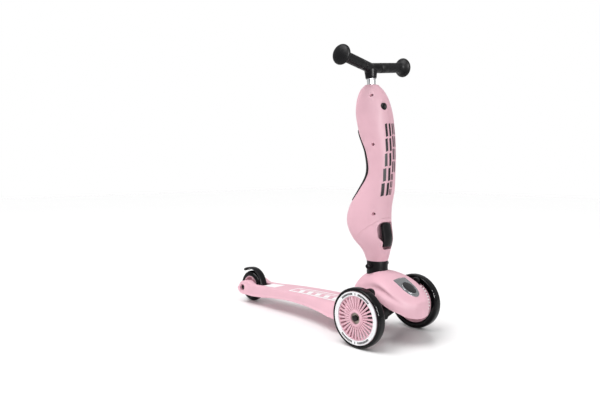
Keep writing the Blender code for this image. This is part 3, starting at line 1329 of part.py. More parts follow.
def badge(bonnet_piece):
    """A blank round badge let into the bonnet's nose."""
    outwards = Vector((0, -math.sin(BADGE_TILT), math.cos(BADGE_TILT)))
    top = float(curve_through(BONNET_SECTIONS, BADGE_Y)[3])
    seat = Vector((0, BADGE_Y, top)) - outwards * (BADGE_THICKNESS + BADGE_SINK)
    cut(bonnet_piece, rod(seat, seat + outwards * 0.03, BADGE_RADIUS + GAP, 24))
    face = [(0, GAP + BADGE_THICKNESS), (BADGE_RADIUS - 0.0005, GAP + BADGE_THICKNESS),
            (BADGE_RADIUS, BADGE_THICKNESS), (BADGE_RADIUS, GAP), (0, GAP)]
    turn = outwards.to_track_quat("Z", "Y").to_euler()
    turned("badge", face, SILVER, ROOT, seat, turn, 24, closed=False)


def scooter():
    truck_holder = truck()
    front_wheels(truck_holder)
    kingpin()
    rear_wheel()
    deck()
    brake()
    column()
    bonnet()
    neck_holder = neck()
    seat_holder = empty("seat_swivel", PIVOT, ROOT)
    lever(neck_holder)
    swivel(neck_holder, seat_holder)
    seat_shells(seat_holder)
    shell_screws(seat_holder)
    seat_pad(seat_holder)
    guide_and_socket(seat_holder)
    button(seat_holder)
    handlebar()


scooter()
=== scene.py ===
"""Looks of the three-wheel kick scooter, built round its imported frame.

Pieces are laid out from the point on the ground under the middle of the front axle, as the solids
are, and SHIFT moves them to the frame's origin.
"""
import json
import math

import bmesh
import bpy
import numpy as np
from mathutils import Matrix, Vector

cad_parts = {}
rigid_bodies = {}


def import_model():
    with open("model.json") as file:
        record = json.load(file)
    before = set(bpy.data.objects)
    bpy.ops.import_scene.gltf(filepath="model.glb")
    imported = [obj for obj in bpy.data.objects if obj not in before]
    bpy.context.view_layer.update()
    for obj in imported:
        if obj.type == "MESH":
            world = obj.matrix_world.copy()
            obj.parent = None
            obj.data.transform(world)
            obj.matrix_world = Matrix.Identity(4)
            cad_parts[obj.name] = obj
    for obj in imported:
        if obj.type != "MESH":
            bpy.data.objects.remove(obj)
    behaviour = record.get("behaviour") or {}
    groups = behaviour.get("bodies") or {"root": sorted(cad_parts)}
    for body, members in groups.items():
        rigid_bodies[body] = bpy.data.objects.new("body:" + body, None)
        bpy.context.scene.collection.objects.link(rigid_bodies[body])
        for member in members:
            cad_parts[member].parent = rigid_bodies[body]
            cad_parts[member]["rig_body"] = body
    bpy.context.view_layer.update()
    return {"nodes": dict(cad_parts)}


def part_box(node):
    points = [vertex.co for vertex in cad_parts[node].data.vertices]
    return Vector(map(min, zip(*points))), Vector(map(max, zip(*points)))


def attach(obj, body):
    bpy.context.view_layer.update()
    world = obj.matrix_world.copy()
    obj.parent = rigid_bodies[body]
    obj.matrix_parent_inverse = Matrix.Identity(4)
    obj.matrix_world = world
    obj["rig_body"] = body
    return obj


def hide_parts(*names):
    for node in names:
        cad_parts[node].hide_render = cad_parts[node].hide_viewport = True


for old in list(bpy.data.objects):
    bpy.data.objects.remove(old, do_unlink=True)
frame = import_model()
low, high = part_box("right_wheel_tyre")
SHIFT = Vector((0, ((low + high) / 2).y, 0))

# Sizes shared with the solids
GAP = 0.0003
SLIDE_GAP = 0.0004
FRONT_RADIUS = 0.060
REAR_RADIUS = 0.040
FRONT_WIDTH = 0.022
REAR_WIDTH = 0.024
BEARING_RADIUS = 0.011
BEARING_WIDTH = 0.007
BEARING_INSET = 0.0005
HALF_TRACK = 0.099
WHEELBASE = 0.445
COLUMN_Y = 0.030
COLLAR_TOP = 0.159
COLLAR_BOTTOM = 0.126
COLUMN_TOP = 0.1555
SLEEVE_RADIUS = 0.0193
COLLAR_RADIUS = 0.0224
KNOB_HEIGHT = 0.1495
TUBE_RADIUS = 0.0165
STEM_TOP = 0.529
STEM_HALF_WIDTH = 0.0415
STEM_DEPTH = 0.098
STEM_SETBACK = 0.0195
STEM_EXPONENT = 2.2
SEAM_TILT = math.radians(38.5)
SEAM_AXIS = Vector((0, math.sin(SEAM_TILT), math.cos(SEAM_TILT)))
PIVOT = Vector((0, 0.040, 0.223))
PLATE_RADIUS = 0.0338
PLATE_DEPTH = 0.0041
POST_RAKE = math.radians(4)
POST_AXIS = Vector((0, math.sin(POST_RAKE), math.cos(POST_RAKE)))
POST_RADIUS = 0.0091
GUIDE_RADIUS = 0.0122
GRIP_RADIUS = 0.0108
RIDE_AXIS = Vector((0, math.sin(2 * SEAM_TILT), math.cos(2 * SEAM_TILT)))
RIDE_HEIGHT = 0.270
LEVER_PIN_HEIGHT = 0.195
PIN_HOLE = 0.0023
LEVER_WALL = 0.006
LEVER_BOSS = 0.0045
BUTTON_TURN = math.radians(15.5)
BUTTON_HEIGHT = 0.481
SCREWS = ((0.029, 0.504), (0.018, 0.403), (0.018, 0.260))
DECK_FRONT = 0.044
DECK_TOP = 0.060
FORK_FRONT = 0.384
FORK_GAP = 0.034
EAR_RADIUS = 0.017
EAR_HALF_WIDTH = 0.040
BRAKE_PIN = Vector((0, WHEELBASE - 0.053, REAR_RADIUS - 0.001))
BONNET_EXPONENT = 2.7
PRINT_LIFT = 0.00012

# Share of the height, then half width as a share of its most, front and back of the depth
STEM_STATIONS = (
    (0.000, 0.53, -0.224, 0.224), (0.056, 0.65, -0.287, 0.315), (0.124, 0.88, -0.346, 0.557),
    (0.215, 1.00, -0.308, 0.692), (0.309, 0.95, -0.337, 0.600), (0.401, 0.84, -0.427, 0.335),
    (0.492, 0.73, -0.465, 0.110), (0.605, 0.77, -0.488, 0.100), (0.742, 0.93, -0.464, 0.262),
    (0.876, 0.86, -0.400, 0.330), (0.940, 0.70, -0.320, 0.285), (0.975, 0.54, -0.235, 0.225),
    (1.000, 0.34, -0.150, 0.135),
)
# Station along Y, half width, then the heights of the foot, the widest line and the crown
BONNET_SECTIONS = (
    (-0.0855, 0.006, 0.055, 0.068, 0.078), (-0.0835, 0.018, 0.045, 0.072, 0.0855),
    (-0.0790, 0.029, 0.042, 0.074, 0.0905), (-0.0720, 0.041, 0.042, 0.077, 0.0960),
    (-0.0620, 0.051, 0.042, 0.082, 0.1040), (-0.0480, 0.0595, 0.042, 0.088, 0.1135),
    (-0.0300, 0.063, 0.042, 0.095, 0.1245), (-0.0100, 0.061, 0.042, 0.100, 0.1345),
    (0.0100, 0.056, 0.042, 0.102, 0.1400), (0.0300, 0.052, 0.042, 0.098, 0.1385),
    (0.0450, 0.0485, 0.042, 0.092, 0.1335), (0.0600, 0.043, 0.042, 0.085, 0.1235),
    (0.0720, 0.0355, 0.042, 0.078, 0.1080), (0.0800, 0.024, 0.044, 0.070, 0.0900),
)
# Station along Y and height of the bonnet's lower edge over the wheels
BONNET_RIM = (
    (-0.0840, 0.0570), (-0.0730, 0.0620), (-0.0630, 0.0690), (-0.0480, 0.0765),
    (-0.0320, 0.0850), (-0.0160, 0.0935), (0.0, 0.0990), (0.0300, 0.1010),
)
# Station from the deck's front, half width at the foot and at the top, then both heights
DECK_SECTIONS = (
    (0.000, 0.048, 0.036, 0.0340, 0.060), (0.016, 0.062, 0.040, 0.0320, 0.060),
    (0.048, 0.070, 0.041, 0.0315, 0.060), (0.104, 0.060, 0.039, 0.0350, 0.060),
    (0.159, 0.050, 0.037, 0.0370, 0.060), (0.230, 0.045, 0.036, 0.0365, 0.0575),
    (0.284, 0.042, 0.035, 0.0315, 0.0545), (0.334, 0.038, 0.032, 0.0245, 0.0510),
    (0.368, 0.039, 0.033, 0.0225, 0.0500),
)


# Materials

def filled(node, **values):
    """A shader node with its inputs set; a space in an input's name is written as _."""
    for label, value in values.items():
        node.inputs[label.replace("_", " ")].default_value = value
    return node


def add_node(tree, kind, **values):
    return filled(tree.nodes.new("ShaderNode" + kind), **values)


def paint(name, colour, rough, grain, depth, tone=0.05, metallic=0.0, painted_edge_highlight=0.0,
          stretch=(1, 1, 1), sheen=0.5):
    """A surface with slow changes of tone, a fine grain in its relief and a painted highlight that
    makes its edges paler.
    """
    made = bpy.data.materials.new(name)
    made.use_nodes = True
    tree = made.node_tree
    link = tree.links.new
    shader = filled(tree.nodes["Principled BSDF"], Metallic=metallic, Specular_IOR_Level=sheen)
    place = add_node(tree, "TexCoord").outputs["Object"]
    scaled = add_node(tree, "Mapping", Scale=stretch)
    link(place, scaled.inputs["Vector"])
    slow = add_node(tree, "TexNoise", Scale=22, Detail=5)
    link(place, slow.inputs["Vector"])
    tones = add_node(tree, "ValToRGB")
    ends = tones.color_ramp.elements
    for stop, position, share in zip(ends, (0.35, 0.65), (1 - tone, 1 + tone)):
        stop.position = position
        stop.color = (*(min(1.0, channel * share) for channel in colour), 1)
    link(slow.outputs["Fac"], tones.inputs["Fac"])
    last = tones.outputs["Color"]
    # Convex edges, found by pointiness, get a painted highlight: their colour is mixed towards a
    # paler tone.
    if painted_edge_highlight:
        edge = add_node(tree, "NewGeometry")
        where = add_node(tree, "MapRange", From_Min=0.53, From_Max=0.62, To_Max=painted_edge_highlight)
        link(edge.outputs["Pointiness"], where.inputs["Value"])
        blend = add_node(tree, "Mix")
        blend.data_type = "RGBA"
        link(where.outputs["Result"], blend.inputs["Factor"])
        link(last, blend.inputs["A"])
        blend.inputs["B"].default_value = (*(min(1.0, c * 1.25 + 0.02) for c in colour), 1)
        last = blend.outputs["Result"]
    link(last, shader.inputs["Base Color"])
    fine = add_node(tree, "TexNoise", Scale=grain, Detail=3)
    link(scaled.outputs["Vector"], fine.inputs["Vector"])
    polish = add_node(tree, "MapRange", To_Min=rough * 0.85, To_Max=rough * 1.15)
    link(fine.outputs["Fac"], polish.inputs["Value"])
    link(polish.outputs["Result"], shader.inputs["Roughness"])
    relief = add_node(tree, "Bump", Distance=depth, Strength=0.6)
    link(fine.outputs["Fac"], relief.inputs["Height"])
    link(relief.outputs["Normal"], shader.inputs["Normal"])
    return made


# The pink, black and grip paints carry a painted highlight along their edges.
PINK = paint("pink_satin", (0.755, 0.455, 0.527), 0.50, 1500, 0.00008, 0.02, painted_edge_highlight=0.25, sheen=0.22)
BLACK = paint("black_moulded", (0.0050, 0.0046, 0.0058), 0.34, 1800, 0.00012, 0.25, painted_edge_highlight=0.3,
              sheen=0.13)
RUBBER = paint("black_soft_grip", (0.0055, 0.0055, 0.0065), 0.45, 2200, 0.00010, 0.2, painted_edge_highlight=0.3,
               sheen=0.14)
TYRE = paint("gloss_tyre_black", (0.0028, 0.0026, 0.0034), 0.09, 400, 0.00001, 0.2, sheen=0.15)
WHITE = paint("white_ring", (0.84, 0.84, 0.86), 0.32, 1500, 0.00006, 0.02)
PRINT_WHITE = paint("white_print", (0.93, 0.92, 0.93), 0.38, 1500, 0.00006, 0.02)
PRINT_BLACK = paint("black_print", (0.010, 0.007, 0.010), 0.40, 1500, 0.00006, 0.2, sheen=0.25)
CHROME = paint("polished_post", (0.74, 0.75, 0.77), 0.17, 300, 0.00002, 0.04, metallic=1.0,
               stretch=(1, 1, 0.05))
STEEL = paint("brushed_steel", (0.42, 0.42, 0.43), 0.30, 900, 0.00006, 0.12, metallic=1.0,
              stretch=(1, 1, 0.1))
DARK_STEEL = paint("dark_steel", (0.030, 0.027, 0.027), 0.34, 900, 0.00006, 0.2, metallic=0.9)
HUB_STEEL = paint("hub_shield", (0.33, 0.29, 0.25), 0.38, 900, 0.00005, 0.15, metallic=0.85)
SILVER = paint("silver_rim", (0.36, 0.365, 0.38), 0.22, 900, 0.00004, 0.06, metallic=0.95)
BADGE_FACE = paint("badge_face", (0.012, 0.012, 0.014), 0.20, 900, 0.00004, 0.2, sheen=0.3)


# Mesh tools

def spread(low, high, count):
    """Even steps from low to high, both of them included."""
    return [low + (high - low) * i / count for i in range(count + 1)]


def eased(count):
    """Shares from 0 to 1 that lie closer together near both ends."""
    return [0.5 * i / count + 0.25 * (1 - math.cos(math.pi * i / count))
            for i in range(count + 1)]


def ramp(value):
    return min(1.0, max(0.0, value))


def linked(name, data):
    """A new object in the scene."""
    made = bpy.data.objects.new(name, data)
    bpy.context.scene.collection.objects.link(made)
    return made


def to_mesh(work, mesh=None):
    mesh = mesh or bpy.data.meshes.new("form")
    bmesh.ops.recalc_face_normals(work, faces=work.faces)
    work.to_mesh(mesh)
    work.free()
    return mesh


def join(work, rows, closed=True):
    """Faces between rows of points; a closed row's last point meets its first."""
    count = len(rows[0])
    for low, high in zip(rows, rows[1:]):
        for i in range(count if closed else count - 1):
            j = (i + 1) % count
            work.faces.new((low[i], low[j], high[j], high[i]))


def loft(rings, endless=False):
    """A skin over rings, with its ends capped or, on an endless one, joined to each other."""
    work = bmesh.new()
    rows = [[work.verts.new(point) for point in ring] for ring in rings]
    join(work, rows)
    if endless:
        join(work, (rows[-1], rows[0]))
    else:
        work.faces.new(rows[0][::-1])
        work.faces.new(rows[-1])
    return to_mesh(work)


def lathe(profile, steps, closed=True, place=Matrix()):
    """A shape turned round Z from a profile of (radius, height)."""
    work = bmesh.new()
    columns = [[work.verts.new((r * math.cos(angle), r * math.sin(angle), z)) for r, z in profile]
               for angle in spread(0, math.tau, steps)[:-1]]
    join(work, columns + columns[:1], closed)
    bmesh.ops.remove_doubles(work, verts=work.verts, dist=0.000002)
    bmesh.ops.dissolve_degenerate(work, edges=work.edges, dist=0.000002)
    mesh = to_mesh(work)
    mesh.transform(place)
    return mesh


def rounded(corners, segments=4):
    """An outline whose corners, given as (x, y, radius), are arcs."""
    outline = []
    for i, (x, y, radius) in enumerate(corners):
        if radius == 0:
            outline.append((x, y))
            continue
        corner = Vector((x, y))
        before = Vector(corners[i - 1][:2]) - corner
        after = Vector(corners[(i + 1) % len(corners)][:2]) - corner
        half = before.angle(after) / 2
        reach = radius / math.tan(half)
        middle = (before.normalized() + after.normalized()).normalized()
        centre = corner + middle * (radius / math.sin(half))
        start = corner + before.normalized() * reach - centre
        end = corner + after.normalized() * reach - centre
        sweep = start.angle_signed(end)
        for k in range(segments + 1):
            outline.append(tuple(centre + Matrix.Rotation(-sweep * k / segments, 2) @ start))
    return outline


def prism(outline, low, high, place=Matrix()):
    """An outline raised from low to high along Z."""
    mesh = loft([[(x, y, z) for x, y in outline] for z in (low, high)])
    mesh.transform(place)
    return mesh


def block(work, outline, angle, low, rise):
    """A straight block on an outline, turned round Z, added to a mesh in the making."""
    turn = Matrix.Rotation(angle, 4, "Z")
    floor = [work.verts.new(turn @ Vector((x, y, low))) for x, y in outline]
    raised = bmesh.ops.extrude_face_region(work, geom=[work.faces.new(floor)])["geom"]
    tops = [item for item in raised if isinstance(item, bmesh.types.BMVert)]
    bmesh.ops.translate(work, verts=tops, vec=(0, 0, rise))


def facing(place, direction):
    """The move that sets a shape at a place, with its Z along a direction."""
    turn = Vector(direction).to_track_quat("Z", "Y").to_matrix().to_4x4()
    return Matrix.Translation(place) @ turn


def rod(start, end, radius, segments=48, end_radius=None):
    start, end = Vector(start), Vector(end)
    work = bmesh.new()
    bmesh.ops.create_cone(work, cap_ends=True, segments=segments, radius1=radius,
                          radius2=end_radius or radius, depth=(end - start).length,
                          matrix=facing((start + end) / 2, end - start))
    return to_mesh(work)


def cross_rod(half, y, z, radius, segments):
    """A rod across the scooter, as long on either side of its middle plane."""
    return rod((-half, y, z), (half, y, z), radius, segments)


def applied(mesh, change):
    """A mesh after modifiers, which change adds to a passing object."""
    carrier = linked("carrier", mesh)
    helpers = change(carrier) or []
    depsgraph = bpy.context.evaluated_depsgraph_get()
    result = bpy.data.meshes.new_from_object(carrier.evaluated_get(depsgraph))
    for passing in [carrier, *helpers]:
        bpy.data.objects.remove(passing, do_unlink=True)
    return result


def combined(mesh, tools, operation="DIFFERENCE"):
    def change(carrier):
        helpers = [linked("tool", tool) for tool in tools]
        for helper in helpers:
            modifier = carrier.modifiers.new("cut", "BOOLEAN")
            modifier.operation = operation
            modifier.solver = "EXACT"
            modifier.object = helper
        return helpers
    return applied(mesh, change)


def bevelled(mesh, width, segments=2, angle=38):
    def change(carrier):
        modifier = carrier.modifiers.new("edges", "BEVEL")
        modifier.width = width
        modifier.segments = segments
        modifier.limit_method = "ANGLE"
        modifier.angle_limit = math.radians(angle)
    return applied(mesh, change)


def sliced(mesh, point, normal):
    """Keep what lies below a plane and close the cut."""
    work = bmesh.new()
    work.from_mesh(mesh)
    geometry = work.verts[:] + work.edges[:] + work.faces[:]
    bmesh.ops.bisect_plane(work, geom=geometry, plane_co=point, plane_no=normal, clear_outer=True)
    bmesh.ops.edgeloop_fill(work, edges=[edge for edge in work.edges if edge.is_boundary])
    return to_mesh(work, mesh)


def curve_through(stations, share):
    """Values between stations, on a smooth cubic that passes through each of them."""
    rows = np.array(stations, dtype=float)
    heights, values = rows[:, 0], rows[:, 1:]
    slopes = np.gradient(values, heights, axis=0)
    i = int(np.clip(np.searchsorted(heights, share) - 1, 0, len(heights) - 2))
    span = heights[i + 1] - heights[i]
    t = (share - heights[i]) / span
    ends = (2 * t**3 - 3 * t**2 + 1) * values[i] + (3 * t**2 - 2 * t**3) * values[i + 1]
    bends = (t**3 - 2 * t**2 + t) * slopes[i] + (t**3 - t**2) * slopes[i + 1]
    return ends + bends * span


def powered(value, power):
    """A power of a number's size, with its sign."""
    return math.copysign(abs(value) ** power, value)


def superellipse(half_x, half_y, exponent, count):
    angles = [math.tau * (i + 0.5) / count for i in range(count)]
    return [(half_x * powered(math.cos(angle), 2 / exponent),
             half_y * powered(math.sin(angle), 2 / exponent)) for angle in angles]


def show(name, mesh, material, body, crease=32, nodes=(), shift=True):
    """Make a piece of a mesh: smooth but for its sharp edges, riding on its body."""
    if shift:
        mesh.transform(Matrix.Translation(SHIFT))
    mesh.shade_smooth()
    mesh.set_sharp_from_angle(angle=math.radians(crease))
    piece = linked(name, mesh)
    mesh.materials.clear()
    mesh.materials.append(material)
    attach(piece, body)
    if nodes:
        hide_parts(*nodes)
    return piece


def dress(node, mesh, material, crease, shift=True):
    """A piece in a node's place, with the node's body."""
    return show(node + "_look", mesh, material, frame["nodes"][node]["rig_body"],
                crease, (node,), shift)


def refined(node, material, width, segments):
    """A node's own shape with its facets joined and its edges rounded."""
    mesh = frame["nodes"][node].data.copy()
    work = bmesh.new()
    work.from_mesh(mesh)
    bmesh.ops.remove_doubles(work, verts=work.verts, dist=0.00002)
    bmesh.ops.dissolve_limit(work, angle_limit=math.radians(0.7), verts=work.verts,
                             edges=work.edges)
    work.to_mesh(mesh)
    work.free()
    if "custom_normal" in mesh.attributes:
        mesh.attributes.remove(mesh.attributes["custom_normal"])
    if width:
        mesh = bevelled(mesh, width, segments, 40)
    dress(node, mesh, material, 32, False)


# Wheels

def sideways(centre, side):
    """The move that sets a turned shape on an axle, with its Z out to a side."""
    return Matrix.Translation(centre) @ Matrix.Rotation(side * math.pi / 2, 4, "Y")


def tread_profile(radius, rim_radius, width, power, flank, step):
    """A tyre's outline; flank is how far its inner side reaches down over a stepped rim."""
    depth = radius - rim_radius - GAP
    profile = [(rim_radius + GAP, width / 2 * (0.8 if flank else 0.88))]
    for angle in spread(math.pi / 2, -math.pi / 2, 30):
        drop = 1 - abs(math.cos(angle)) ** power
        across = abs(math.sin(angle)) ** power
        out = across * (0.9 if flank and angle > 0 else 1.0)
        profile.append((radius - depth * 0.8 * drop, math.copysign(width / 2 * out, angle)))
    profile.append((rim_radius - flank + GAP, -width / 2 * 0.88))
    if flank:
        profile += [(rim_radius - flank + GAP, step - GAP), (rim_radius + GAP, step - GAP)]
    return profile


def slot_tools(count, start, end, low, high):
    """Wedge slots with rounded corners round a rim, as one tool."""
    work = bmesh.new()
    wide = end * math.pi / count * 0.56
    narrow = start * math.pi / count * 0.36
    outline = rounded([(start, -narrow, 0.0002), (end, -wide, 0.0007), (end, wide, 0.0007),
                       (start, narrow, 0.0002)], 3)
    for i in range(count):
        block(work, outline, math.tau * (i + 0.5) / count, low, high - low)
    return to_mesh(work)


def wheel(name, centre, side, radius, width, tyre_depth, flank, slots, outer_seat):
    """A tyre, its slotted rim and bearings; a wheel with a flank also has a ring."""
    place = sideways(centre, side)
    half = width / 2
    ringed = flank > 0
    rim_radius = radius - tyre_depth
    ring_width = 0.0086
    ring_inner = rim_radius - (ring_width + 3 * GAP if ringed else 0.003)
    face = half - 0.0033
    web_high = face + 0.0005
    web_low = web_high - 0.0024
    seat = BEARING_RADIUS + GAP
    hub, hub_high = seat + 0.004, half - 0.001
    inner_seat = -half + BEARING_INSET
    step, back = face - 0.007, -half + 0.0018
    tread = tread_profile(radius, rim_radius, width, 0.65 if ringed else 1.0, flank, step)
    dress(f"{name}_tyre", bevelled(lathe(tread, 144, place=place), 0.0003), TYRE, 40)

    barrel = rim_radius - flank
    profile = [(rim_radius, face, 0)]
    if flank:
        profile += [(rim_radius, step, 0), (barrel, step, 0)]
    profile += [(barrel, back, 0.0004), (barrel - 0.003, back, 0.0004),
                (barrel - 0.0035, web_low, 0.0015), (hub, web_low, 0.0015),
                (hub, inner_seat, 0.0006), (seat, inner_seat, 0.0004), (seat, hub_high, 0.0004),
                (hub, hub_high, 0.001), (hub + 0.0004, web_high, 0.0012),
                (ring_inner, web_high, 0), (ring_inner, face, 0)]
    slots_start = hub + (0.0016 if ringed else 0.001)
    rim = combined(lathe(rounded(profile), slots * 6),
                   [slot_tools(slots, slots_start, ring_inner - 0.0015, web_low - 0.002,
                               web_high + 0.002)])
    rim = bevelled(rim, 0.00035, 2, 50)
    rim.transform(place)
    dress(f"{name}_rim", rim, PINK, 40)
    if ringed:
        inner, outer = ring_inner + GAP, ring_inner + ring_width + GAP
        low, high = face + GAP, face + GAP + 0.0024
        ring = rounded([(outer, high, 0.0004), (outer, low, 0.0002), (inner, low, 0.0002),
                        (inner, high, 0.0006)])
        dress(f"{name}_ring", lathe(ring, 144, place=place), WHITE, 40)
        ticks(name, place, inner + 0.002, ring_inner + ring_width - 0.0022, high)
    hub_face(name, place, outer_seat, inner_seat)


def ticks(name, place, inner, outer, face):
    """Plain short bars on the white ring, in one group above and one below."""
    work = bmesh.new()
    for middle in (0, 180):
        for degrees in (*range(-42, -7, 4), 0, *range(10, 43, 4)):
            half = 0.0013 if degrees else 0.0008
            corners = ((inner, -half), (outer, -half), (outer, half), (inner, half))
            block(work, corners, math.radians(middle + degrees), face - 0.0001, 0.00015)
    marks = to_mesh(work)
    marks.transform(place)
    show(f"{name}_ring_marks", marks, PRINT_BLACK, name)


def hub_face(name, place, outer_seat, inner_seat):
    """Bearings with their races, shields and the grooves between them."""
    race, sleeve, lip, shield, groove = 0.0043, 0.006, 0.0062, 0.0092, 0.0004
    outer_face = outer_seat + BEARING_WIDTH
    inner_face = inner_seat + BEARING_WIDTH
    profile = [
        (BEARING_RADIUS, outer_face), (BEARING_RADIUS, outer_seat), (sleeve, outer_seat),
        (sleeve, inner_face), (BEARING_RADIUS, inner_face), (BEARING_RADIUS, inner_seat),
        (shield, inner_seat), (shield, inner_seat + groove), (lip, inner_seat + groove),
        (lip, inner_seat), (race, inner_seat), (race, outer_face), (lip, outer_face),
        (lip, outer_face - groove), (shield, outer_face - groove), (shield, outer_face),
    ]
    dress(f"{name}_bearings", lathe(profile, 64, place=place), HUB_STEEL, 30)


for side, name in ((-1, "right_wheel"), (1, "left_wheel")):
    wheel(name, (side * HALF_TRACK, 0, FRONT_RADIUS), side, FRONT_RADIUS, FRONT_WIDTH, 0.0066,
          0.007, 30, 0.0)
wheel("rear_wheel", (0, WHEELBASE, REAR_RADIUS), 1, REAR_RADIUS, REAR_WIDTH, 0.0135, 0, 14,
      REAR_WIDTH / 2 - BEARING_INSET - BEARING_WIDTH)


# Stem, which the neck and the two seat shells share

def spine(share):
    return COLUMN_Y + STEM_SETBACK * share


def stem_share(height):
    return (height - COLLAR_TOP) / (STEM_TOP - COLLAR_TOP)


def stem_section(height):
    """Half width, and the middle and half depth along Y, at a height."""
    half_width, front, back = curve_through(STEM_STATIONS, stem_share(height))
    middle = spine(stem_share(height)) + (front + back) / 2 * STEM_DEPTH
    return half_width * STEM_HALF_WIDTH, middle, (back - front) / 2 * STEM_DEPTH


def stem_ring(height, inset, count):
    half_width, middle, half_depth = stem_section(height)
    return [(x, middle + y, height) for x, y in
            superellipse(half_width - inset, half_depth - inset, STEM_EXPONENT, count)]


def stem_form(low, high, inset=0.0, rings=90, count=96):
    return loft([stem_ring(low + (high - low) * share, inset, count) for share in eased(rings)])


def skin_point(height, x, side, lift):
    """A point lifted off the stem's skin, in front where side is -1 and behind where it is 1."""
    half_width, middle, half_depth = stem_section(height)
    rest = max(0.0, 1 - abs(x / half_width) ** STEM_EXPONENT)
    y = half_depth * rest ** (1 / STEM_EXPONENT) + lift
    return Vector((x, middle + side * y, height))


def skin_reach(point, direction):
    """How far the skin lies from a point inside the stem, level and along a direction."""
    half_x, centre_y, half_y = stem_section(point.z)
    low, high = 0.0, STEM_DEPTH
    for _ in range(40):
        middle = (low + high) / 2
        trial = point + direction * middle
        inside = (abs(trial.x / half_x) ** STEM_EXPONENT
                  + abs((trial.y - centre_y) / half_y) ** STEM_EXPONENT) < 1
        low, high = (middle, high) if inside else (low, middle)
    return low


SEAM_PLAY = SEAM_AXIS * GAP * 0.7
POST_TOP = Vector((0, spine(1.0), STEM_TOP))


def along_post(distance):
    return POST_TOP + POST_AXIS * distance


def button_axis():
    """The push button's foot on the post's axis, its direction and how far the skin lies off."""
    outwards = Vector((-math.sin(BUTTON_TURN), -math.cos(BUTTON_TURN), 0))
    foot = along_post((BUTTON_HEIGHT - STEM_TOP) / math.cos(POST_RAKE))
    return foot, outwards, skin_reach(foot, outwards)


def ride_mouth():
    share = stem_share(RIDE_HEIGHT)
    back = curve_through(STEM_STATIONS, share)[2]
    return Vector((0, spine(share) + back * STEM_DEPTH - 0.001, RIDE_HEIGHT))


def seat_shells():
    mouth = ride_mouth()
    foot, outwards, skin = button_axis()
    for name, side in (("seat_shell_right", -1), ("seat_shell_left", 1)):
        mesh = sliced(stem_form(COLLAR_TOP + 0.015, STEM_TOP), PIVOT + SEAM_PLAY, -SEAM_AXIS)
        sliced(mesh, (side * GAP / 2, 0, 0), (-side, 0, 0))
        tools = [
            rod(PIVOT - SEAM_AXIS * 0.01, PIVOT + SEAM_AXIS * PLATE_DEPTH, PLATE_RADIUS, 64),
            rod(PIVOT, PIVOT + SEAM_AXIS * 0.024, 0.0096, 32),
            rod(along_post(-0.156), along_post(-0.0067), GUIDE_RADIUS + GAP, 40),
            rod(along_post(-0.02), along_post(0.02), POST_RADIUS + 0.001, 40),
            rod(mouth + RIDE_AXIS * 0.02, mouth - RIDE_AXIS * 0.053, GUIDE_RADIUS + GAP, 40),
        ]
        for y, z in SCREWS:
            head = 0.009 - skin_reach(Vector((0, y, z)), Vector((-1, 0, 0)))
            tools.append(rod((head, y, z), (-0.1, y, z), 0.0034, 28))
            tools.append(rod((-0.1, y, z), (0.012, y, z), 0.0018, 16))
        if side < 0:
            tools.append(rod(foot + outwards * (skin - 0.008), foot + outwards * (skin + 0.02),
                             0.0076, 40))
            tools.append(rod(foot, foot + outwards * skin, 0.0034, 24))
        dress(name, bevelled(combined(mesh, tools), 0.0006, 3, 45), PINK, 35)


seat_shells()


FRONT_VIEW = Matrix(((1, 0, 0, 0), (0, 0, -1, 0), (0, 1, 0, 0), (0, 0, 0, 1)))
SIDE_VIEW = Matrix(((0, 0, 1, 0), (1, 0, 0, 0), (0, 1, 0, 0), (0, 0, 0, 1)))


def lever_pin_y():
    middle, half_depth = stem_section(LEVER_PIN_HEIGHT)[1:]
    return middle - half_depth + LEVER_WALL + LEVER_BOSS - 0.0015


def neck():
    """The stem's hollow foot, with the lever's window in front, wider above than below."""
    half = [(0.0262, 0.2425, 0.015), (0.0262, 0.211, 0.0085), (0.0168, 0.201, 0.007),
            (0.0168, 0.185, 0.0085)]
    window = rounded(half + [(-x, y, radius) for x, y, radius in half[::-1]], 10)
    foot = COLLAR_TOP + GAP
    mesh = sliced(stem_form(foot, STEM_TOP - 0.2, 0, 70), PIVOT - SEAM_PLAY, SEAM_AXIS)
    hollow = sliced(stem_form(COLLAR_TOP + 0.018, STEM_TOP - 0.2, 0.008, 40, 64),
                    PIVOT + SEAM_AXIS * 0.01, SEAM_AXIS)
    sliced(hollow, (0, 0.0195, 0), (0, -1, 0))
    tools = [
        hollow,
        rod(PIVOT - SEAM_AXIS * PLATE_DEPTH, PIVOT + SEAM_AXIS * 0.01, PLATE_RADIUS, 64),
        prism(window, -0.015, 0.015, Matrix.Translation((0, 0.002, 0)) @ FRONT_VIEW),
        rod((0, COLUMN_Y, foot - 0.01), (0, COLUMN_Y, foot + 0.016), TUBE_RADIUS + GAP, 48),
        cross_rod(0.021, lever_pin_y(), LEVER_PIN_HEIGHT, PIN_HOLE, 20),
    ]
    dress("neck", bevelled(combined(mesh, tools), 0.0012, 4, 45), PINK, 35)


neck()


def lever():
    """A wall of the stem's own curve, cut to an outline, with a boss on its pin."""
    pin = lever_pin_y(), LEVER_PIN_HEIGHT
    top, bottom, half = 0.2405, 0.1905, 0.0138
    outline = rounded([(-half, bottom, 0.004), (half, bottom, 0.004), (half, top, 0.0085),
                       (-half, top, 0.0085)], 8)
    mesh = combined(stem_form(COLLAR_TOP + 0.01, 0.263, 0.0005, 40),
                    [prism(outline, -0.02, 0.02, FRONT_VIEW)], "INTERSECT")
    mesh = combined(mesh, [stem_form(COLLAR_TOP - 0.01, 0.283, LEVER_WALL, 40)])
    mesh = combined(mesh, [cross_rod(half, *pin, LEVER_BOSS, 32)], "UNION")
    mesh = combined(mesh, [cross_rod(0.03, *pin, PIN_HOLE, 20)])
    dress("safety_lever", bevelled(mesh, 0.001, 4, 45), BLACK, 35)


lever()


def border(grid):
    """The outer points of a grid, in one turn."""
    return (grid[0] + [row[-1] for row in grid[1:]] + grid[-1][-2::-1]
            + [row[0] for row in grid[-2:0:-1]])


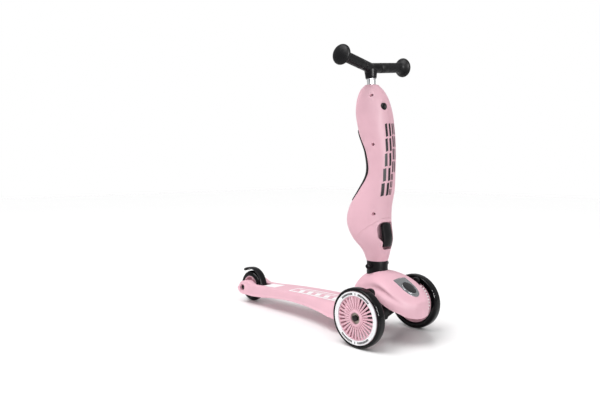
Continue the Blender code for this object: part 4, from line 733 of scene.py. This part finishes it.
def seat_pad():
    """A padded strip on the seat's rear face, crowned, thinned to a rolled edge and channelled."""
    rows, columns = 84, 30
    low, high, half = 0.284, 0.437, 0.0272
    work = bmesh.new()
    under, over = [], []
    for along, height in zip(spread(-1, 1, rows), spread(low, high, rows)):
        taper = math.sqrt(max(0.0, 1 - abs(along) ** 4))
        inner, outer = [], []
        for across in spread(-1, 1, columns):
            x = half * (0.55 + 0.45 * taper) * across
            rim = min(1 - abs(across) ** 6, 1 - abs(along) ** 14)
            crown = 0.0022 + 0.0014 * max(0.0, rim) ** 0.35
            for channel in (-0.46, 0.46):
                crown -= 0.0005 * math.exp(-((across - channel) / 0.035) ** 2)
            inner.append(work.verts.new(skin_point(height, x, 1, GAP)))
            outer.append(work.verts.new(skin_point(height, x, 1, GAP + crown)))
        under.append(inner)
        over.append(outer)
    join(work, under, False)
    join(work, over[::-1], False)
    edge = list(zip(border(under), border(over)))
    join(work, edge + edge[:1], False)
    pad = dress("seat_pad", to_mesh(work), RUBBER, 50)


seat_pad()


def stem_bars():
    """Plain black bars down the front of the stem, in pairs that lean with it."""
    work = bmesh.new()

    def bar(left, right, low, high, slant):
        join(work, [[work.verts.new(skin_point(height + slant * (across - 0.5),
                                               left + (right - left) * across, -1, PRINT_LIFT))
                     for across in spread(0, 1, 3)] for height in spread(low, high, 6)], False)

    # Count, first height, pace, offset, slant, then left, right, low and high of each in a pair
    for count, first, pace, offset, slant, pair in (
            (5, 0.297, 0.0305, 0.0, 0.002,
             ((0.0, 0.0056, 0.0, 0.0262), (0.01, 0.0156, 0.001, 0.0272))),
            (4, 0.346, 0.026, 0.0196, 0.002,
             ((0.0, 0.0046, 0.0, 0.0226), (0.0076, 0.0118, 0.0, 0.0226))),
            (3, 0.299, 0.0155, 0.0172, 0.001,
             ((0.0, 0.0026, 0.0, 0.0125), (0.0042, 0.0066, 0.0, 0.0125)))):
        for i in range(count):
            foot = first + pace * i
            start = -0.0235 + 0.0105 * (foot - 0.295) / 0.15 + offset
            for left, right, low, high in pair:
                bar(start + left, start + right, foot + low, foot + high, slant)
    show("stem_bars", to_mesh(work), PRINT_BLACK, "seat", 60)


stem_bars()


def post_and_button():
    foot, outwards, skin = button_axis()
    tip = POST_RADIUS + SLIDE_GAP + 0.003
    profile = [(0, 0.0002), (0.003, 0.0004), (0.0052, 0.0011), (0.0064, 0.0011), (0.007, 0.0006),
               (0.0072, -0.0004), (0.0072, -0.004), (0.003, -0.004), (0.003, tip - skin),
               (0, tip - skin)]
    place = facing(foot + outwards * skin, outwards)
    dress("height_button", lathe(profile, 48, False, place), BLACK, 40)
    low, high, bore = -0.126, 0.0273, POST_RADIUS - 0.0015
    tube = [(POST_RADIUS, high), (POST_RADIUS, low), (bore, low), (bore, high)]
    post = lathe(tube, 64, place=facing(POST_TOP, POST_AXIS))
    dress("handlebar_post", bevelled(post, 0.0003), CHROME, 40)


post_and_button()


def handlebar():
    """The moulded middle of the bar, melted from its tubes into one shape, and its two grips."""
    showing, height, thick = 0.014, 0.0222, 0.0138
    middle = along_post(showing + height)
    core = rod(along_post(showing), along_post(showing + height * 0.85), thick * 0.84, 64, thick)
    arms = []
    for name, side in (("grip_right", -1), ("grip_left", 1)):
        end = middle + Vector((side * 0.105, -0.009, 0.013))
        along = (end - middle).normalized()
        arms.append(rod(middle - along * 0.004, middle + along * 0.026, GRIP_RADIUS, 64))
        arms.append(rod(middle, end, 0.008, 32))
        grip(name, facing(middle, along), (end - middle).length)

    def melt(carrier):
        grid = carrier.modifiers.new("grid", "REMESH")
        grid.mode = "VOXEL"
        grid.voxel_size = 0.0011
        soften = carrier.modifiers.new("soften", "SMOOTH")
        soften.factor = 0.5
        soften.iterations = 6

    core = applied(combined(core, arms, "UNION"), melt)
    core = combined(core, [rod(along_post(showing - 0.01), along_post(0.0276), POST_RADIUS + GAP,
                               40)])
    dress("handlebar_core", core, BLACK, 50)


def grip(name, place, reach):
    """A rubber grip with fine rings and a large domed end."""
    start, bore, radius, end_radius = 0.0263, 0.0083, GRIP_RADIUS, 0.0207
    end = reach + 0.008
    neck_start = reach - 0.012
    profile = [(0, end)]
    for angle in spread(0, math.pi / 2, 14)[1:]:
        profile.append((end_radius * math.sin(angle), end - 0.0099 * (1 - math.cos(angle))))
    profile += [(end_radius * 0.985, reach - 0.0035), (end_radius * 0.93, reach - 0.0056),
                (radius + 0.006, reach - 0.0085), (radius + 0.003, neck_start + 0.001),
                (radius + 0.001, neck_start - 0.0012), (radius, neck_start - 0.004)]
    groove = radius - 0.00018
    for k in range(15):
        z = neck_start - 0.0055 - 0.0028 * k
        profile += [(radius, z), (groove, z - 0.0004), (groove, z - 0.001), (radius, z - 0.0014)]
    profile += [(radius, start + 0.0004), (radius - 0.0004, start), (bore, start),
                (bore, reach + GAP), (0, reach + GAP)]
    dress(name, lathe(profile, 72, False, place), RUBBER, 50)


handlebar()


# Deck

def deck_ring(y, bottom_half, crown_half, bottom, top):
    foot = Vector((bottom_half, bottom + 0.002))
    crown = Vector((crown_half, top))
    bend = Vector((crown_half + (bottom_half - crown_half) * 0.55, top))
    half = [(0.0, bottom), (bottom_half - 0.003, bottom)]
    for t in spread(0, 1, 12):
        half.append(tuple(foot * (1 - t) ** 2 + bend * 2 * t * (1 - t) + crown * t**2))
    half.append((0.0, top))
    return [(x, y, z) for x, z in half + [(-x, z) for x, z in half[-2:0:-1]]]


def deck_form(inset, start, end, count, drop=0.0):
    length = DECK_SECTIONS[-1][0]
    rings = []
    for share in spread(start, end, count):
        bottom_half, crown_half, bottom, top = curve_through(DECK_SECTIONS, share * length)
        rings.append(deck_ring(DECK_FRONT + share * length, bottom_half - inset,
                               crown_half - inset, bottom - drop, top - inset))
    return rings


def deck_ribs():
    """Three ribs across the hollow and one along it."""
    half, ribs = 0.0015, []
    for y in spread(DECK_FRONT + 0.055, FORK_FRONT - 0.02, 2):
        sections = []
        for place in (y - half, y + half):
            bottom_half, crown, bottom, top = curve_through(DECK_SECTIONS, place - DECK_FRONT)
            sections.append(deck_ring(place, bottom_half - 0.002, crown - 0.002, bottom + 0.004,
                                      top - 0.002))
        ribs.append(loft(sections))
    low, high = [], []
    for y in spread(DECK_FRONT + 0.008, FORK_FRONT - 0.01, 12):
        bottom, top = curve_through(DECK_SECTIONS, y - DECK_FRONT)[2:]
        low.append((y, bottom + 0.006))
        high.append((y, top - 0.0016))
    return ribs + [prism(low + high[::-1], -half, half, SIDE_VIEW)]


def deck():
    """A hollow tray whose rear end forks round the wheel and ends in two ears on its axle."""
    rings = deck_form(0, 0, 1, 70)
    length, _, crown_half = DECK_SECTIONS[-1][:3]
    rings.append(deck_ring((DECK_FRONT + length + WHEELBASE) / 2, EAR_HALF_WIDTH - 0.0005,
                           crown_half, REAR_RADIUS - EAR_RADIUS, REAR_RADIUS + EAR_RADIUS))
    for angle in spread(0, math.pi / 2, 24)[:-1]:
        reach = EAR_RADIUS * math.cos(angle)
        rings.append(deck_ring(WHEELBASE + EAR_RADIUS * math.sin(angle), EAR_HALF_WIDTH,
                               crown_half, REAR_RADIUS - reach, REAR_RADIUS + reach))
    mesh = combined(loft(rings), [loft(deck_form(0.004, 0.012, 0.875, 40, 0.02))])
    mesh = combined(mesh, deck_ribs(), "UNION")
    half, end = FORK_GAP / 2, WHEELBASE + 0.05
    slot = rounded([(-half, FORK_FRONT, 0.008), (half, FORK_FRONT, 0.008), (half, end, 0),
                    (-half, end, 0)], 8)
    mesh = combined(mesh, [prism(slot, -0.05, 0.15)])
    axle = (WHEELBASE, REAR_RADIUS)
    bearing_face = REAR_WIDTH / 2 - BEARING_INSET + GAP
    bosses = [rod((side * bearing_face, *axle), (side * (half + 0.002), *axle), 0.0065, 32)
              for side in (-1, 1)]
    mesh = combined(mesh, bosses, "UNION")
    tools = [cross_rod(0.1, *axle, 0.0043, 24),
             *(rod((side * 0.03, *axle), (side * 0.1, *axle), 0.009, 40) for side in (-1, 1)),
             cross_rod(half + 0.01, *BRAKE_PIN.yz, PIN_HOLE, 20),
             *(rod((x, y, 0), (x, y, 0.1), 0.0028, 16)
               for x in (-0.02, 0.02) for y in (0.054, 0.064))]
    dress("deck", bevelled(combined(mesh, tools), 0.0007, 3, 42), PINK, 35)


deck()


def deck_print():
    """Plain white stripes on the deck: two long pairs, slanting bars between, a patch behind."""
    work = bmesh.new()

    def on_deck(x, y):
        return work.verts.new((x, y, curve_through(DECK_SECTIONS, y - DECK_FRONT)[3] + PRINT_LIFT))

    def strip(points, width):
        """A band along points of (x, y), as wide as given across its run."""
        rows = []
        for i, point in enumerate(points):
            run = (Vector(points[min(len(points) - 1, i + 1)])
                   - Vector(points[max(0, i - 1)])).normalized()
            side = Vector((-run.y, run.x)) * width / 2
            rows.append([on_deck(*(Vector(point) + side * sign)) for sign in (1, -1)])
        join(work, rows, False)

    def run_of(start, end, count=24):
        return list(zip(spread(start[0], end[0], count), spread(start[1], end[1], count)))

    for start, bend, end, width in (
            ((-0.0318, 0.095), (-0.0305, 0.19), (-0.0255, 0.276), 0.0058),
            ((0.0185, 0.095), (0.0125, 0.19), (0.0079, 0.277), 0.0048),
            ((0.0068, 0.095), (0.0025, 0.16), (-0.0037, 0.262), 0.0036)):
        strip(run_of(start, bend) + run_of(bend, end)[1:], width)
    strip(run_of((-0.0255, 0.276), (0.0079, 0.277), 8), 0.005)
    for i in range(6):
        y = 0.104 + 0.027 * i
        strip(run_of((-0.025, y), (-0.0045, y + 0.009), 6), 0.0125)
    rows = 14
    patch = zip(spread(0.338, 0.382, rows), spread(0.0185, 0.0165, rows))
    join(work, [[on_deck(x, y) for x in (-half, 0, half)] for y, half in patch], False)
    show("deck_stripes", to_mesh(work), PRINT_WHITE, "frame", 60)


deck_print()


# Brake fender

def fender():
    """A curved plate over the rear wheel, hinged on its pin, with a lip that thickens behind."""
    middle = Vector((0, WHEELBASE + 0.001, REAR_RADIUS + 0.003))
    outer, thick, half = 0.0465, 0.0036, 0.0105
    lip = middle + Vector((0, 0.0285, 0.0385))
    path = [BRAKE_PIN + Vector((0, 0.001, 0.001))]
    for degrees in spread(170, 72, 30):
        angle = math.radians(degrees)
        path.append(middle + Vector((0, math.cos(angle), math.sin(angle))) * (outer - thick / 2))
    start = path[-1]
    for share in (0.12, 0.24, 0.36, 0.48, 0.6, 0.7, 0.78, 0.85, 0.9, 0.94, 0.97, 0.99, 1.0):
        path.append(start.lerp(lip, share))
    rings = []
    last = len(path) - 1
    for i, point in enumerate(path):
        run = (path[min(last, i + 1)] - path[max(0, i - 1)]).normalized()
        away = Vector((0, -run.z, run.y))
        if (point - middle).dot(away) < 0:
            away = -away
        from_tip = (path[-1] - point).length
        round_tip = math.sqrt(max(0.0, 1 - (1 - min(1.0, from_tip / 0.0045)) ** 2))
        swell = ramp(1.5 - from_tip / 0.018)
        width = half * (0.7 + 0.3 * round_tip)
        depth = (thick / 2 + 0.0023 * swell) * (0.2 + 0.8 * round_tip)
        ring = []
        for x, z in superellipse(width, depth, 3.0, 40):
            crown = -0.0009 * (x / half) ** 2
            ring.append(point + Vector((x, 0, 0)) + away * (z + crown - 0.001 * swell))
        rings.append(ring)
    pin = BRAKE_PIN.yz
    mesh = combined(loft(rings), [cross_rod(half, *pin, 0.0052, 40)], "UNION")
    tools = [cross_rod(0.05, *pin, PIN_HOLE, 24), cross_rod(0.0055, *pin, 0.0068, 40)]
    dress("brake_fender", combined(mesh, tools), BLACK, 50)


fender()


# Bonnet, badge and collar

def bonnet_section(y, inset, count):
    """A ring of the bonnet, hollowed a little between its crown and its widest line."""
    half_width, bottom, widest, top = curve_through(BONNET_SECTIONS, y)
    along = math.exp(-((y + 0.022) / 0.038) ** 2)
    behind = math.exp(-((y - 0.03) / 0.034) ** 2)
    rear = ramp(y / 0.045)
    ring = []
    for x, z in superellipse(half_width - inset, 1, BONNET_EXPONENT, count):
        out = abs(x) / half_width
        height = z * (top - inset - widest) if z > 0 else z * (widest - bottom)
        if z > 0:
            x *= 1 - 0.15 * along * math.exp(-((z - 0.38) / 0.24) ** 2)
            height -= 0.013 * behind * out**2 * z
        x *= 1 - 0.15 * rear * rear * (3 - 2 * rear)
        ring.append((x, widest + height))
    return ring


BADGE_OUT = Vector((0, -math.sin(math.radians(35)), math.cos(math.radians(35))))
BADGE_SEAT = Vector((0, -0.055, curve_through(BONNET_SECTIONS, -0.055)[3])) - BADGE_OUT * 0.0026


def bonnet():
    """A shell over the truck, open below, arched over the wheels and seated for its badge."""
    start, end = BONNET_SECTIONS[0][0], BONNET_SECTIONS[-1][0]
    skin = []
    for step in spread(0, 1, 70):
        share = 0.35 * step + 0.65 * (1 - math.cos(math.pi / 2 * step))
        y = start + (end - start) * min(1.0, share)
        skin.append([(x, y, z) for x, z in bonnet_section(y, 0, 96)])
    hollow, wall = [], 0.003
    for share in eased(30):
        y = start + (end - start) * (0.01 + 0.98 * share)
        place = start + wall + (end - start - 2 * wall) * share
        hollow.append([(x, place, z) for x, z in bonnet_section(y, wall, 72)])
    first, last = BONNET_RIM[0], BONNET_RIM[-1]
    smooth = [(y, curve_through(BONNET_RIM, y)[0]) for y in spread(first[0], last[0], 40)]
    foot = 0.02
    arch = [(start - 0.01, foot), (start - 0.01, first[1] - 0.004), *smooth,
            (DECK_FRONT + 0.004, last[1] - 0.004), (DECK_FRONT + 0.004, foot)]
    front = DECK_FRONT - 0.006
    tools = [
        loft(hollow),
        rod((0, COLUMN_Y, COLLAR_BOTTOM - 0.02), (0, COLUMN_Y, 0.2), COLLAR_RADIUS + GAP, 72),
        prism([(-0.1, front), (0.1, front), (0.1, 0.2), (-0.1, 0.2)], 0, DECK_TOP + GAP),
        prism(arch, -0.15, 0.15, SIDE_VIEW),
        rod(BADGE_SEAT, BADGE_SEAT + BADGE_OUT * 0.03, 0.0168, 64),
    ]
    dress("front_bonnet", bevelled(combined(loft(skin), tools), 0.0007, 3, 42), PINK, 35)


bonnet()


def bonnet_top(x, y, lift):
    """The point of the bonnet's skin over a place in plan, lifted off it."""
    half_width, _, widest, top = curve_through(BONNET_SECTIONS, y)
    rest = max(0.0, 1 - abs(x / half_width) ** BONNET_EXPONENT)
    return Vector((x, y, widest + (top - widest) * rest ** (1 / BONNET_EXPONENT))) \
        + BADGE_OUT * lift


def draped(outline, middle, layers, endless=False):
    """A plate or ring on the bonnet's skin: an outline drawn in to its middle and lifted."""
    return loft([[bonnet_top(x * share, middle + (y - middle) * share, lift) for x, y in outline]
                 for share, lift in layers], endless)


def badge():
    """A blank badge: a silver shield round a raised ring and a dark plain face."""
    turn, half, middle = -0.0505, 0.0206, -0.051
    shield = [(0.0205 * math.cos(angle), turn - 0.0205 * math.sin(angle))
              for angle in spread(0, math.pi, 40)]
    shield += [(-half, y) for y in spread(turn, turn + 0.0225, 8)[1:]]
    shield += [(-0.019 + 0.038 * i / 12, -0.0245 - 0.0012 * abs(i - 6) / 6) for i in range(13)]
    shield += [(half, y) for y in spread(-0.028, turn, 8)[:-1]]
    plate = draped(shield, -0.048, ((1.0, -0.0008), (1.0, 0.0008), (0.985, 0.0013),
                                    (0.93, 0.0013), (0.915, 0.0007), (0.5, 0.0007),
                                    (0.1, 0.0007)))
    dress("badge", plate, SILVER, 35)
    oval = [(0.016 * math.cos(angle), middle + 0.015 * math.sin(angle))
            for angle in spread(0, math.tau, 72)[:-1]]
    ring = draped(oval, middle, ((1.0, 0.0005), (1.0, 0.0014), (0.985, 0.0018), (0.9, 0.0018),
                                 (0.885, 0.0005)), True)
    show("badge_ring", ring, SILVER, "frame", 35)
    face = draped(oval, middle, ((0.895, 0.0006), (0.895, 0.0012), (0.86, 0.0014), (0.5, 0.0016),
                                 (0.1, 0.0016)))
    show("badge_face", face, BADGE_FACE, "frame", 35)


badge()


def collar():
    """The collar that holds the neck's tube, and the knob on either side of it."""
    inner, outer, lip = SLEEVE_RADIUS + GAP, COLLAR_RADIUS, TUBE_RADIUS + GAP
    profile = rounded([(outer, COLLAR_TOP, 0.001), (outer, COLLAR_BOTTOM, 0.0006),
                       (inner, COLLAR_BOTTOM, 0), (inner, COLUMN_TOP + GAP, 0),
                       (lip, COLUMN_TOP + GAP, 0), (lip, COLLAR_TOP, 0.0004)])
    mesh = lathe(profile, 96, place=Matrix.Translation((0, COLUMN_Y, 0)))
    tools = [rod((side * (inner - 0.002), COLUMN_Y, KNOB_HEIGHT),
                 (side * 0.05, COLUMN_Y, KNOB_HEIGHT), 0.0031, 24) for side in (-1, 1)]
    dress("collar", bevelled(combined(mesh, tools), 0.0003), BLACK, 38)
    start, reach, radius, stem = outer + GAP, 0.0362, 0.0052, 0.0028
    inside = TUBE_RADIUS + SLIDE_GAP
    profile = [(0, reach), (0.0016, reach), (0.0031, reach - 0.0004), (0.0043, reach - 0.0013),
               (radius, reach - 0.003), (radius, start + 0.0034), (0.0044, start + 0.0026),
               (0.0042, start + 0.0012), (radius - 0.0006, start), (stem, start),
               (stem, inside), (0, inside)]
    for name, side in (("right_collar_knob", -1), ("left_collar_knob", 1)):
        place = sideways((0, COLUMN_Y, KNOB_HEIGHT), side)
        dress(name, lathe(profile, 48, False, place), BLACK, 45)


collar()


# Plain fittings, taken from the solids with joined facets and rounded edges

for material, width, segments, names in (
        (BLACK, 0.0008, 2, ("column_base", "front_truck")),
        (STEEL, 0.0002, 2, ("deck_screw_1", "deck_screw_2", "deck_screw_3", "deck_screw_4",
                            "kingpin_bolt", "kingpin_nut", "brake_pin", "swivel_bolt",
                            "swivel_nut", "swivel_plate_lower", "swivel_plate_upper",
                            "lever_pin", "neck_tube", "guide_tube")),
        (DARK_STEEL, 0.0002, 2, ("right_wheel_axle_bolt", "left_wheel_axle_bolt",
                                 "rear_axle_bolt", "rear_axle_nut", "shell_screw_1",
                                 "shell_screw_2", "shell_screw_3")),
        (STEEL, 0, 2, ("brake_spring",)),
        (BLACK, 0.0003, 2, ("ride_socket",)),
        (RUBBER, 0.0006, 3, ("kingpin_bushing",))):
    for name in names:
        refined(name, material, width, segments)


# Floor, light and camera

def lamp(name, kind, aim, energy):
    made = linked(name, bpy.data.lights.new(name, kind))
    made.data.energy = energy
    made.rotation_euler = aim.to_track_quat("-Z", "Y").to_euler()
    return made


def sun(name, place, strength, degrees):
    lamp(name, "SUN", -Vector(place), strength).data.angle = math.radians(degrees)


def soft_box(name, place, aim, size_x, size_y, power):
    """A lamp that only shows as a highlight on glossy pieces."""
    made = lamp(name, "AREA", Vector(aim) - Vector(place), power)
    made.location = place
    made.visible_diffuse = False
    made.data.shape = "RECTANGLE"
    made.data.size, made.data.size_y = size_x, size_y


def stage():
    """A white floor under a white sky, which lights less than it shows."""
    work = bmesh.new()
    bmesh.ops.create_grid(work, x_segments=2, y_segments=2, size=6)
    floor = linked("floor", to_mesh(work))
    made = bpy.data.materials.new("floor_white")
    made.use_nodes = True
    white = (1, 1, 1, 1)
    filled(made.node_tree.nodes["Principled BSDF"], Base_Color=white, Roughness=0.22,
           Specular_IOR_Level=0.12)
    floor.data.materials.append(made)
    world = bpy.data.worlds.new("studio")
    bpy.context.scene.world = world
    world.use_nodes = True
    tree = world.node_tree
    tree.nodes.clear()
    link = tree.links.new
    out = add_node(tree, "OutputWorld")
    seen = add_node(tree, "Background", Color=white, Strength=1.0)
    light = add_node(tree, "Background", Color=white, Strength=0.6)
    mix = add_node(tree, "MixShader")
    link(add_node(tree, "LightPath").outputs["Is Camera Ray"], mix.inputs["Fac"])
    link(light.outputs["Background"], mix.inputs[1])
    link(seen.outputs["Background"], mix.inputs[2])
    link(mix.outputs["Shader"], out.inputs["Surface"])
    sun("key", (-0.8, 0.3, 1.8), 1.85, 36)
    sun("fill", (-0.1, -1.0, 1.5), 0.5, 50)
    soft_box("strip", (-0.9, -0.5, 1.7), (0, 0, 0.2), 0.35, 1.2, 22)
    soft_box("front_strip", (-0.35, -1.9, 0.9), (0, 0, 0.1), 0.14, 1.0, 75)


stage()


def camera():
    """The view fitted to the photo, whose focal length was found in its pixels."""
    focal_pixels, width_pixels, sensor = 543.8, 600, 36
    lens = bpy.data.cameras.new("camera")
    lens.sensor_width = sensor
    lens.lens = focal_pixels / width_pixels * sensor
    lens.clip_start, lens.clip_end = 0.01, 50
    view = linked("camera", lens)
    view.location = (-0.9208, -0.6758 + SHIFT.y, 0.3552)
    yaw, pitch = math.radians(-44.37), math.radians(3.45)
    view.rotation_euler = (math.pi / 2 - pitch, 0, yaw)
    bpy.context.scene.camera = view


camera()
bpy.context.scene.view_settings.view_transform = "Standard"

bpy.context.view_layer.update()
